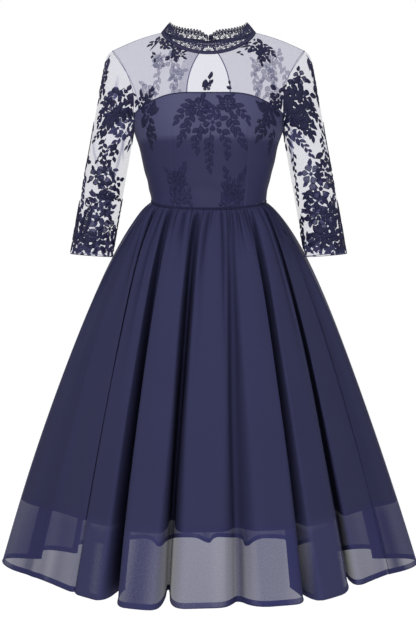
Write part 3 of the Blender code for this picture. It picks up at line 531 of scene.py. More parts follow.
@dataclass(frozen=True)
class BodyForm:
    """The surface that the bodice, the yoke, the sleeves and the collar share."""

    fine: int = 6               # columns and rows here for each one of the solids
    squareness: float = 2.3
    bust_x: float = 0.076
    bust_z: float = -0.214
    bust_rise: float = 0.012
    bust_reach: float = 0.055
    waist_z: float = -0.344
    waist_front_drop: float = 0.023
    waist_back_drop: float = 0.010
    band_half_height: float = 0.0027
    corner_z: float = -0.175
    back_top_z: float = -0.172
    neck_half_width: float = 0.097
    neck_front: float = 0.065
    neck_back: float = 0.055
    neck_front_drop: float = 0.0566
    neck_back_drop: float = 0.010
    neck_drop_power: float = 1.3
    shoulder_crown: float = 0.0035
    front_inset: float = 0.020
    back_inset: float = 0.024
    inset_fade: float = 0.35
    keyhole_half_width: float = 0.046
    keyhole_skew: float = 0.678
    keyhole_fullness: float = 0.7
    front_top: int = 14         # columns of the solids: half the front and half the back top edge,
    back_top: int = 13          # armhole to underarm, shoulder, half the front and half the back neck
    armhole_columns: int = 4
    shoulder: int = 5
    front_neck: int = 9
    back_neck: int = 8
    rows: int = 5

    def torso(self, turn: Array, z: Array) -> Array:
        """Points of the body at a turn from the centre front and a height.

        Each level is a superellipse: x is the half width times the sine to the power 2 over the
        squareness, y is minus the depth times the cosine to the same power. The bust adds two
        bell-shaped rises.

        Args:
            turn: radians from the centre front.
            z: heights.

        Returns:
            The points.
        """
        turn, z = np.broadcast_arrays(np.asarray(turn, dtype=float), np.asarray(z, dtype=float))
        c, s = np.cos(turn), np.sin(turn)
        power = 2 / self.squareness
        sections = columns_of(TORSO)
        level = smooth_between(np.clip(z, sections[0, 0], sections[-1, 0]),
                               sections[:, 0], sections[:, 1:])
        x = level[..., 0] * np.sign(s) * np.abs(s) ** power
        y = -np.where(c > 0, level[..., 1], level[..., 2]) * np.sign(c) * np.abs(c) ** power
        for side in (-1, 1):
            reach = ((x - side * self.bust_x) ** 2 + (z - self.bust_z) ** 2) / self.bust_reach ** 2
            rise = self.bust_rise * np.exp(-reach) * np.clip(c * 3, 0, 1)
            y = y - np.where(c > 0, rise, 0.0)
        return np.stack([x, y, z], axis=-1)

    def waist_height(self, turn: Array) -> Array:
        """Height of the waist seam: its drop times the cosine, front and back."""
        c = np.cos(turn)
        return self.waist_z - np.where(c > 0, self.waist_front_drop, self.waist_back_drop) * np.abs(c)

    def sleeve_ring(self, turn: Array, row: Array, inset_share: float | Array = 1.0) -> Array:
        """A ring of the left sleeve: 0 is its outer point, and the front is positive.

        x and z run from the inner to the outer point with the cosine, y with the sine, and the
        armhole is drawn in by its inset times the square of the sine.

        Args:
            turn: radians from the outer point.
            row: a row of the sleeve's table.
            inset_share: how much of the armhole's inset it takes.

        Returns:
            The points.
        """
        c, s = np.cos(turn), np.sin(turn)
        outer_x, outer_z, inner_x, inner_z, half_depth, centre_y = row
        inset = np.where(s > 0, self.front_inset, self.back_inset) * s * s * inset_share
        x = (outer_x + inner_x) / 2 + (outer_x - inner_x) / 2 * c - inset
        z = (outer_z + inner_z) / 2 + (outer_z - inner_z) / 2 * c
        return np.stack([x, centre_y - half_depth * s, z], axis=-1)

    def corner_turn(self) -> float:
        """Turn of the armhole where the bodice's top edge meets it.

        Returns:
            Radians from the armhole's outer point.
        """
        first = SLEEVE[0]
        middle = (first.outer_z + first.inner_z) / 2
        return math.acos((self.corner_z - middle) / ((first.outer_z - first.inner_z) / 2))

    def torso_turn(self, points: Array, front: bool) -> Array:
        """Turn at which the body has the depth of each point of the left armhole.

        Args:
            points: of the left armhole.
            front: whether they are on its front.

        Returns:
            Radians from the centre front.
        """
        sections = columns_of(TORSO)
        level = smooth_between(np.clip(points[:, 2], sections[0, 0], sections[-1, 0]),
                               sections[:, 0], sections[:, 2:])
        depth = level[:, 0] if front else level[:, 1]
        turn = np.arccos(np.clip((np.abs(points[:, 1]) / depth) ** (self.squareness / 2), 0, 1))
        return turn if front else math.pi - turn

    def neck(self, turn: Array) -> Array:
        """Neck seam at a turn from the centre front: an oval that dips to the front and back.

        Args:
            turn: radians from the centre front.

        Returns:
            The points.
        """
        c = np.cos(turn)
        y = -np.where(c > 0, self.neck_front, self.neck_back) * c
        drop = np.where(c > 0, self.neck_front_drop, self.neck_back_drop)
        return np.stack([self.neck_half_width * np.sin(turn), y,
                         -drop * np.abs(c) ** self.neck_drop_power], axis=-1)

    def bodice_ring(self) -> Array:
        """The whole bodice as one ring of columns, rows from the waist up.

        Column 0 is the right underarm. Next to an armhole the body's surface is shifted to meet
        the armhole's ring, and the shift fades with the fourth power of the share along.

        Returns:
            Rows by columns by 3.
        """
        f, corner = self.fine, self.corner_turn()
        arm = np.linspace(corner, math.pi, self.armhole_columns * f + 1)
        front_ring = self.sleeve_ring(arm, SLEEVE[0])
        back_ring = self.sleeve_ring(-arm, SLEEVE[0])
        front_turn, back_turn = self.torso_turn(front_ring, True), self.torso_turn(back_ring, False)
        main_front = np.linspace(0, front_turn[0], self.front_top * f + 1)[:-1]
        main_back = np.linspace(math.pi, back_turn[0], self.back_top * f + 1)[:-1]
        edge = columns_of(BODICE_TOP)
        front_z = smooth_between(np.degrees(main_front), edge[:, 0], edge[:, 1])
        back_share = np.linspace(0, 1, self.back_top * f + 1)[:-1]
        back_z = self.back_top_z + (self.corner_z - self.back_top_z) * back_share
        turns = np.concatenate([main_front, front_turn, back_turn[::-1][1:], main_back[::-1]])
        top = np.concatenate([front_z, front_ring[:, 2], back_ring[::-1][1:, 2], back_z[::-1]])

        ring_points = np.concatenate([front_ring, back_ring[::-1][1:]])
        first, last = self.front_top * f, self.front_top * f + len(ring_points)
        shift = np.zeros((len(turns), 3))
        shift[first:last] = ring_points - self.torso(turns[first:last], top[first:last])
        shift[:first] = shift[first] * np.linspace(0, 1, first + 1)[:-1, None] ** 4
        shift[last:] = shift[last - 1] * np.linspace(1, 0, len(turns) - last + 1)[1:, None] ** 4

        share = np.linspace(0, 1, self.rows * f * 2 + 1)[:, None]
        low = self.waist_height(turns) + self.band_half_height
        half = self.torso(turns, low + share * (top - low)) + shift * share[:, :, None] ** 2
        ring = np.concatenate([half, half[:, 1:-1][:, ::-1] * (-1.0, 1.0, 1.0)], axis=1)
        return np.roll(ring, first + self.armhole_columns * f, axis=1)

    def yoke_half(self, lower: Array, lower_slope: Array, neck_turns: Array, ring: Array,
                  front: bool) -> Array:
        """Left half of the yoke's front or back, its first column on the centre line.

        Each column is a cubic from the bodice's top edge to the neck or the shoulder. The last
        column is the armhole's ring, and the difference fades with the cube of the share along.

        Args:
            lower: points of the bodice's top edge.
            lower_slope: the way in which the cloth leaves them.
            neck_turns: radians of the neck's points.
            ring: points of the armhole.
            front: whether it is of the front.

        Returns:
            Rows by columns by 3.
        """
        f = self.fine
        neck_line = self.neck(neck_turns)
        share = np.linspace(0, 1, self.shoulder * f + 1)[1:, None]
        shoulder = neck_line[-1] + (ring[-1] - neck_line[-1]) * share
        shoulder[:, 2] += self.shoulder_crown * np.sin(math.pi * share[:, 0])
        upper = np.concatenate([neck_line, shoulder])
        outward = np.clip(np.abs(upper[:, :1]) / self.neck_half_width, 0, 1)
        level = (1.0 if front else -1.0) * (0.55 + 0.45 * outward)
        slope = np.concatenate([0 * outward, level, 0.8 - 0.6 * outward], axis=1)
        reach = np.linalg.norm(upper - lower, axis=1, keepdims=True)
        t = np.linspace(0, 1, self.rows * f + 1)[:, None, None]
        near = (1 + 2 * t) * (1 - t) ** 2 * lower + t * (1 - t) ** 2 * unit(lower_slope) * reach
        far = t * t * (3 - 2 * t) * upper - t * t * (1 - t) * unit(slope) * reach
        grid = near + far
        miss = ring - grid[:, -1]
        return grid + miss[:, None] * np.linspace(0, 1, grid.shape[1])[None, :, None] ** 3

    def keyhole(self, grid: Array) -> Array:
        """Slide the columns of a back half towards the armhole to open the keyhole at its centre.

        The opening's half width is a sine of the height, skewed upwards and filled out by powers.

        Args:
            grid: the back half, its first column on the centre line.

        Returns:
            The grid with its columns moved.
        """
        rows, columns = grid.shape[:2]
        t = np.linspace(0, 1, rows)
        sine = np.clip(np.sin(math.pi * t ** self.keyhole_skew), 0, 1)
        opening = self.keyhole_half_width * sine ** self.keyhole_fullness
        share = np.linspace(0, 1, columns)
        out = np.empty_like(grid)
        for row in range(rows):
            start = np.interp(opening[row], grid[row, :, 0], share)
            places = start + (1 - start) * share
            out[row] = np.stack([np.interp(places, share, grid[row, :, a]) for a in range(3)], axis=-1)
        return out

    def centre(self) -> int:
        """Column of the bodice's ring at the centre front."""
        return (self.front_top + self.armhole_columns) * self.fine

    def yoke(self) -> tuple[Array, Array]:
        """Grids of the whole front of the yoke and of its left back, columns anticlockwise.

        Returns:
            The two grids.
        """
        f, ring = self.fine, self.bodice_ring()
        slope = ring[-1] - ring[-2]
        centre, total = self.centre(), ring.shape[1]
        back_centre = centre + total // 2
        side = np.linspace(self.corner_turn(), 0, self.rows * f + 1)
        front_neck = np.linspace(0, math.pi / 2, self.front_neck * f + 1)
        back_neck = np.linspace(math.pi, math.pi / 2, self.back_neck * f + 1)
        front_columns = np.arange(centre, centre + self.front_top * f + 1)
        back_columns = np.arange(back_centre, back_centre - self.back_top * f - 1, -1) % total
        front = self.yoke_half(ring[-1, front_columns], slope[front_columns], front_neck,
                               self.sleeve_ring(side, SLEEVE[0]), True)
        back = self.keyhole(self.yoke_half(ring[-1, back_columns], slope[back_columns], back_neck,
                                           self.sleeve_ring(-side, SLEEVE[0]), False))
        return np.concatenate([mirrored(front), front[:, 1:]], axis=1), back[:, ::-1]

    def sleeve(self, rows: int, columns: int, lap: float) -> Array:
        """Grid of the left sleeve from armhole to cuff, columns round it from the outer point.

        Args:
            rows: rings down the sleeve.
            columns: points round it.
            lap: how far its first ring lies outside the body at the underarm.

        Returns:
            Rings read from the sleeve's table by a smooth curve.
        """
        shares = np.linspace(0, 1, rows)
        table = smooth_between(shares, np.linspace(0, 1, len(SLEEVE)), columns_of(SLEEVE))
        insets = np.clip(1 - shares / self.inset_fade, 0, 1) ** 2
        turns = np.linspace(0, math.tau, columns, endpoint=False)
        grid = self.sleeve_ring(turns[None], table.T[..., None], insets[:, None])
        lapped = np.clip((-np.cos(turns) - 0.25) / 0.35, 0, 1) * lap
        grid[..., 0] += lapped * (1 - ease(shares, 0.0, 0.06))[:, None]
        return grid


@dataclass(frozen=True)
class SkirtForm:
    """The fluted surface that the skirt and its lining share."""

    body: BodyForm
    hem_z: float = -1.090
    flare: float = 0.72
    waist_ease: float = 0.30
    waist_ease_length: float = 0.04
    fold_growth: float = 0.72
    gather_count: int = 46
    gather_depth: float = 0.0088
    gather_length: float = 0.048
    gather_widths: tuple[float, float] = (0.55, 1.5)    # the narrowest and widest, in proportion
    gather_depths: tuple[float, float] = (0.5, 1.25)    # least and most, over the depth above
    gather_reaches: tuple[float, ...] = (0.8, 1.1, 1.7, 2.8)    # over the length above
    gather_chances: tuple[float, ...] = (0.3, 0.3, 0.25, 0.15)  # of each of these reaches
    gather_opening: float = 0.012       # share of the length in which they open below the seam
    gather_fade: float = 2.1            # of their reach, in which they die away
    gather_fade_power: float = 1.5
    gather_roundness: float = 0.6
    gather_mean: float = 0.34           # of their depth, by which the cloth is drawn in again
    # painted shade: the chiffon is darker between the gathers and in the valleys, partly as doubled
    # cloth
    gather_edge: float = 0.16           # share of a gather that lies deep beside the next
    gather_tail: float = 1.6            # of their reach, in which their painted shade fades below it
    ungathered: float = 0.3             # of the way from the centre-back seam to the next crest
    plain_breadth: float = 0.90         # of a crest whose valley would have no painted shade
    breadth_range: float = 0.70         # from there to a valley's full painted shade
    least_strength: float = 0.25        # of any valley's painted shade
    valley_shade: float = 0.40
    valley_slope: float = 0.28
    crest_end: float = 0.13     # shares of the way to the valley where the drop starts and ends
    crest_end_top: float = 0.66
    valley_start: float = 0.96
    steps: int = 20             # columns from a crest to the next valley
    side_flute: int = 8         # its crest is the left side seam
    back_flute: int = 12        # its valley is the centre-back seam
    seed: int = 11

    def closed_curve(self, knots: Array, breadth: Array) -> Array:
        """Smooth closed curve through knots that are crests and valleys in turn.

        Between two knots it is a cubic whose end slopes are the chord over each knot times the
        breadth at a crest and times a small share at a valley, so that crests are broad and
        valleys are narrow.

        Args:
            knots: N by 2.
            breadth: of each crest.

        Returns:
            Its points, as many between any two knots.
        """
        before, after = np.roll(knots, 1, axis=0), np.roll(knots, -1, axis=0)
        chord = after - before
        at_valley = np.full(len(breadth), self.valley_slope)
        leaving = chord * np.stack([breadth, at_valley], axis=1).reshape(-1, 1)
        arriving = chord * np.stack([np.roll(breadth, 1), at_valley], axis=1).reshape(-1, 1)
        s = np.arange(self.steps)[None, :, None] / self.steps
        curve = (1 + 2 * s) * (1 - s) ** 2 * knots[:, None] + s * (1 - s) ** 2 * leaving[:, None]
        curve = curve + s * s * (3 - 2 * s) * after[:, None]
        curve = curve - s * s * (1 - s) * np.roll(arriving, -1, axis=0)[:, None]
        return curve.reshape(-1, 2)

    def drop_share(self, t: Array) -> Array:
        """How far each point has dropped from a crest to its valley: eased, late and steep.

        The columns are even at the waist and crowd at the valleys in the hem, so the drop starts
        later near the waist.

        Args:
            t: shares of the length, as a column.

        Returns:
            0 at a crest to 1 at a valley, rows by columns.
        """
        along = np.arange(2 * self.steps) / self.steps
        along = np.tile(np.minimum(along, 2 - along), len(FLUTES))
        start = self.crest_end + (self.crest_end_top - self.crest_end) * (1 - t ** self.flare)
        return ease((along - start) / (self.valley_start - start), 0.0, 1.0)

    def gathers(self, columns: int, t: Array) -> tuple[Array, Array]:
        """Small folds under the waist, uneven in width, in depth and in how far they reach.

        Args:
            columns: points round the skirt.
            t: shares of the length, as a column.

        Returns:
            How far each point is moved outwards, and how deep it lies between two gathers, 0 to
            1. Across a gather the move is the sine of the share along it to the power of its
            roundness, sharp where two gathers meet. Down the cloth it opens below the seam with
            1 less an exponential of the share, and then dies away with another.
        """
        rng = np.random.default_rng(self.seed)
        count = self.gather_count
        edges = np.concatenate([[0.0], np.cumsum(rng.uniform(*self.gather_widths, count))])
        place = np.arange(columns) / columns * edges[-1]
        which = np.clip(np.searchsorted(edges, place, side="right") - 1, 0, count - 1)
        along = (place - edges[which]) / (edges[which + 1] - edges[which])
        depth = self.gather_depth * rng.uniform(*self.gather_depths, count)
        reach = self.gather_length * rng.choice(self.gather_reaches, count, p=self.gather_chances)
        sine = np.clip(np.sin(math.pi * along), 0, 1)
        start = 1 - np.exp(-t / self.gather_opening)
        fade = np.exp(-(t / (self.gather_fade * reach[which])) ** self.gather_fade_power)
        rise = depth[which] * sine ** self.gather_roundness * start * fade
        fade = np.exp(-(t / (self.gather_fade * self.gather_length)) ** self.gather_fade_power)
        mean = self.gather_depth * self.gather_mean * start * fade
        edge = np.minimum(along, 1 - along)
        reaches = np.minimum(reach[which], np.roll(reach[which], 1))
        tail = np.clip(t - reaches, 0, None) / (self.gather_tail * reaches)
        deep = np.exp(-(edge / self.gather_edge) ** 2) * np.exp(-tail ** 2)
        return rise - mean, deep * ease(t, -0.004, self.gather_opening)

    def folds(self, shares: Array) -> Array:
        """How deep each point lies in a gather or a valley, 0 to 1: the mask of its painted shade.

        A valley is as deep as its drop, and stronger the broader its crests are.

        Args:
            shares: shares of the cloth's length, from the waist down.

        Returns:
            Rows by columns.
        """
        t = np.asarray(shares, dtype=float)[:, None]
        columns = 2 * len(FLUTES) * self.steps
        _, deep = self.gathers(columns, t)
        strength = (columns_of(FLUTES)[:, 6] - self.plain_breadth) / self.breadth_range
        strength = np.repeat(np.clip(strength, self.least_strength, 1.0), 2 * self.steps)[None]
        valley = self.valley_shade * strength * ease(self.drop_share(t), 0.10, 0.90)
        return np.maximum(deep, valley * ease(t, -0.02, 0.09))

    def surface(self, shares: Array, gathered: bool = True) -> tuple[Array, Array]:
        """Grid of the cloth at shares of its length, hem last, and its outward normals.

        The plan goes from the waist's ring to an envelope through the crests with the share to
        the power of the flare. From the envelope it drops towards the valleys, with the share to
        the power of the folds' growth. Height runs straight from the waist seam to the hem.

        Args:
            shares: shares of the cloth's length, from the waist down.
            gathered: whether it has the gathers under the waist.

        Returns:
            The points and the normals.
        """
        table = columns_of(FLUTES)
        crests, valleys = table[:, 1:3], table[:, 4:6]
        between = (crests + np.roll(crests, -1, axis=0)) / 2
        envelope = self.closed_curve(np.stack([crests, between], axis=1).reshape(-1, 2), table[:, 6])
        drop = np.repeat(valleys - between, 2 * self.steps, axis=0)
        knots = table[:, (0, 3)].ravel()
        steps = np.arange(len(envelope)) / self.steps
        knots = np.append(knots, knots[0] + 360)
        turns = np.radians(np.interp(steps, np.arange(len(knots)), knots))
        top_z = self.body.waist_height(turns) - self.body.band_half_height
        waist = self.body.torso(turns, top_z)
        t = np.asarray(shares, dtype=float)[:, None, None]
        spread = t ** self.flare * (1 - self.waist_ease * np.exp(-t / self.waist_ease_length))
        flat = waist[None, :, :2] + (envelope - waist[:, :2])[None] * spread
        flat = flat + drop[None] * self.drop_share(t[:, :, 0])[:, :, None] * t ** self.fold_growth
        height = top_z[None] + (self.hem_z - top_z)[None] * t[:, :, 0]
        outward = unit(np.gradient(waist[:, :2], axis=0)[:, ::-1] * (1.0, -1.0))
        if gathered:
            away = np.abs(np.arange(len(envelope)) - self.seam_column()) / self.steps
            ease_in = np.clip(away - self.ungathered, 0, 1)
            rise, _ = self.gathers(len(envelope), t[:, :, 0])
            flat = flat + (rise * ease_in)[:, :, None] * outward[None]
        points = np.concatenate([flat, height[:, :, None]], axis=2)
        normals = grid_normals(points[::-1], around=True)[::-1].copy()
        return points, normals

    def seam_column(self) -> int:
        """Column of the centre-back seam."""
        return (2 * self.back_flute + 1) * self.steps

    def spans(self) -> dict[str, tuple[int, int]]:
        """First and last column of the front, the left back and the right back.

        Returns:
            The columns by panel.
        """
        side, seam = 2 * self.side_flute * self.steps, self.seam_column()
        return {
            "front": (0, side),
            "back_left": (side, seam),
            "back_right": (seam, 2 * len(FLUTES) * self.steps),
        }


def ring_span(grid: Array, first: int, last: int) -> Array:
    """Columns first to last of a closed grid, past its end where needed."""
    return grid[:, np.arange(first, last + 1) % grid.shape[1]]


# ---- materials ----------------------------------------------------------------------------


class Weave(Enum):
    """How a cloth's yarns run: how many to the metre, and how deep they stand."""

    SATIN = (1500.0, 0.10)
    CHIFFON = (1100.0, 0.16)
    LINING = (1300.0, 0.12)
    TAPE = (900.0, 0.30)


@dataclass(frozen=True)
class Finish:
    """The even values of one finish: its colour, and the shade that it drifts towards."""

    name: str
    colour: tuple[float, float, float]
    shade: tuple[float, float, float]
    roughness: float
    metallic: float = 0.0
    coat: float = 0.0
    specular: float = 0.3


SATIN = Finish("bodice_satin", (0.0245, 0.025, 0.076), (0.019, 0.0195, 0.062), 0.55, specular=0.18)
CHIFFON = Finish("skirt_chiffon", (0.044, 0.046, 0.114), (0.032, 0.0335, 0.088), 0.90, specular=0.12)
LINING = Finish("skirt_lining", (0.024, 0.0245, 0.06), (0.018, 0.0185, 0.046), 0.80)
NET = Finish("sheer_net", (0.15, 0.15, 0.33), (0.115, 0.115, 0.26), 0.85, specular=0.1)
THREAD = Finish("embroidery_thread", (0.018, 0.018, 0.068), (0.006, 0.006, 0.028), 0.45, specular=0.22)
OPEN_WORK = Finish("open_work", (0.05, 0.05, 0.14), (0.03, 0.03, 0.09), 0.60, specular=0.2)
SHADOW_WORK = Finish("shadow_work", (0.17, 0.172, 0.25), (0.12, 0.122, 0.19), 0.80, specular=0.1)
TONAL = Finish("bodice_embroidery", (0.027, 0.0275, 0.082), (0.015, 0.0155, 0.052), 0.55, specular=0.15)
CROCHET = Finish("crochet_thread", (0.048, 0.048, 0.12), (0.02, 0.02, 0.056), 0.70, specular=0.25)
CORD = Finish("waist_cord", (0.023, 0.0235, 0.062), (0.016, 0.0165, 0.046), 0.80, specular=0.1)
PALE_CORD = Finish("net_binding", (0.11, 0.115, 0.22), (0.08, 0.085, 0.17), 0.70, specular=0.2)
TAPE = Finish("zip_tape", (0.028, 0.029, 0.068), (0.02, 0.021, 0.05), 0.80)
HEM = Finish("skirt_hem", (0.042, 0.044, 0.11), (0.034, 0.036, 0.092), 0.88, specular=0.12)
TOOTH = Finish("zip_teeth", (0.042, 0.043, 0.09), (0.03, 0.031, 0.07), 0.45, coat=0.2)
LACQUER = Finish("zip_metal", (0.09, 0.09, 0.15), (0.06, 0.06, 0.11), 0.32, metallic=0.85, coat=0.4)
BUTTON = Finish("button_shell", (0.042, 0.043, 0.092), (0.03, 0.03, 0.07), 0.22, coat=0.6)


LIT_UPPER_SATIN = (0.0600, 0.0600, 0.1280)           # painted light: colour of the satin from the bust up, as lit from above
LIT_UPPER_SHARE = 0.92                           # how far that painted light takes over the satin's own
LIT_UPPER_EDGE = (-0.2350, -0.2220)              # heights between which the painted light fades out
UNLINED_TINT = (0.0300, 0.0310, 0.1050)     # of chiffon with no lining, light coming from behind
UNLINED_LENGTH = (0.120, 0.150)             # heights above the hem between which the lining ends
FOLD_SHADE = (0.0125, 0.0128, 0.0400)        # painted shade of chiffon in folds and between gathers, partly its tone lying doubled
HEM_TURNING = 0.0095                        # height of the chiffon's turned hem
PUCKERS = (250.0, 5.0, (0.47, 0.62))        # noise drawn out down the chiffon: the finest gathers,
BANDS = (64.0, 1.2, (0.36, 0.64))           # and slow bands below the lining
FAN_PITCH, FAN_BASE = 0.0235, 0.0074        # the collar's lace, in metres along and up it
FAN_RINGS = (0.0020, 0.0042, 0.0052, 0.0104)
FAN_SPOKES = 7.0
ROSETTE_BASE, ROSETTE_RING = 0.0150, (0.0011, 0.0027)
SHELLS, SHELL_BASE, SHELL_RING = 3, 0.0208, (0.0010, 0.0027)
SPOKE_EDGE = 0.62                           # value of a spoke's wave at which its hole starts
LOOP_PITCH = 0.0016
LACE_HEIGHT = 0.0270


@dataclass(frozen=True)
class Cover:
    """How much of the light the sheer cloths stop, 0 to 1, and what adds to it."""

    chiffon: float = 0.69
    crepe: float = 0.10
    turning: float = 0.16
    doubled: float = 0.22
    band: float = 0.10
    fold: float = 0.22
    net_thread: float = 0.30
    net_fold: float = 0.42


COVER = Cover()


class Graph:
    """A node tree with short ways to add and join its nodes."""

    def __init__(self, tree: Tree) -> None:
        """Keep the tree that the nodes go into."""
        self.tree = tree

    def node(self, kind: str, inputs: dict | None = None, **settings: object) -> Node:
        """Add a node, set its properties, and set or link its inputs.

        Args:
            kind: the node's class.
            inputs: input name or number to a value, or to a socket that feeds it.
            settings: properties of the node.

        Returns:
            The new node.
        """
        node = self.tree.nodes.new(kind)
        for key, value in settings.items():
            setattr(node, key, value)
        for key, value in (inputs or {}).items():
            self.feed(node.inputs[key], value)
        return node

    def feed(self, socket: Socket, value: object) -> None:
        """Link a socket to the one that feeds it, or set its own value.

        Args:
            socket: an input.
            value: a number, a colour, or the output that feeds it.
        """
        if isinstance(value, Socket):
            self.tree.links.new(value, socket)
        else:
            socket.default_value = value

    def math(self, operation: str, first: object, second: object = 0.0,
             third: object = 0.0, clamp: bool = False) -> Socket:
        """One sum on numbers or sockets.

        Args:
            operation: what is worked out.
            first: a number or socket.
            second: a number or socket.
            third: a number or socket.
            clamp: whether the result is kept between 0 and 1.

        Returns:
            The result.
        """
        node = self.node("ShaderNodeMath", {0: first, 1: second, 2: third},
                         operation=operation, use_clamp=clamp)
        return node.outputs[0]

    def blend(self, factor: object, first: object, second: object) -> Socket:
        """A colour between two by a factor."""
        return self.node("ShaderNodeMix", {0: factor, 6: first, 7: second}, data_type="RGBA").outputs[2]

    def noise(self, place: Socket, scale: object, detail: float) -> Socket:
        """Noise at a place, about 0 to 1."""
        settings = {"Vector": place, "Scale": scale, "Detail": detail}
        return self.node("ShaderNodeTexNoise", settings).outputs[0]

    def attribute(self, name: str) -> Socket:
        """The number that a piece's vertices carry under a name."""
        return self.node("ShaderNodeAttribute", attribute_name=name).outputs["Fac"]

    def object_place(self) -> Socket:
        """The place on the object."""
        return self.node("ShaderNodeTexCoord").outputs["Object"]

    def cloth_place(self) -> Socket:
        """The place on the cloth, in metres along and up it."""
        return self.node("ShaderNodeUVMap", uv_map="cloth").outputs[0]

    def along_up(self) -> tuple[Socket, Socket]:
        """The two numbers of the place on the cloth."""
        parts = self.node("ShaderNodeSeparateXYZ", {0: self.cloth_place()})
        return parts.outputs[0], parts.outputs[1]

    def share(self, value: Socket, start: float, end: float,
              first: float = 0.0, last: float = 1.0) -> Socket:
        """How far a value is from start to end, as a number from first to last.

        Args:
            value: what is read.
            start: the value that gives first.
            end: the value that gives last.
            first: the number at the start.
            last: the number at the end.

        Returns:
            The number.
        """
        return self.node("ShaderNodeMapRange", {
            "Value": value, "From Min": start, "From Max": end, "To Min": first, "To Max": last,
        }).outputs[0]

    def placed(self, tree: Tree, **values: float) -> bpy.types.NodeOutputs:
        """The outputs of a node group put in with some of its inputs set."""
        return self.node("ShaderNodeGroup", values, node_tree=tree).outputs

    def dressed(self, shader: Node, relief: tuple[Socket, float, float],
                feeds: dict[str, Socket]) -> Material:
        """Feed a material's shader.

        Args:
            shader: its Principled BSDF.
            relief: the height, the strength and the distance of its bump.
            feeds: shader input to the socket that feeds it.

        Returns:
            The material that this tree belongs to.
        """
        height, strength, distance = relief
        settings = {"Height": height, "Strength": strength, "Distance": distance}
        raised = self.node("ShaderNodeBump", settings).outputs[0]
        for key, socket in {**feeds, "Normal": raised}.items():
            self.feed(shader.inputs[key], socket)
        return self.material()

    def material(self) -> Material:
        """The material that this tree belongs to."""
        return next(m for m in bpy.data.materials if m.node_tree == self.tree)


def four(colour: tuple[float, float, float]) -> tuple[float, float, float, float]:
    """A colour with full alpha."""
    return (*colour, 1.0)


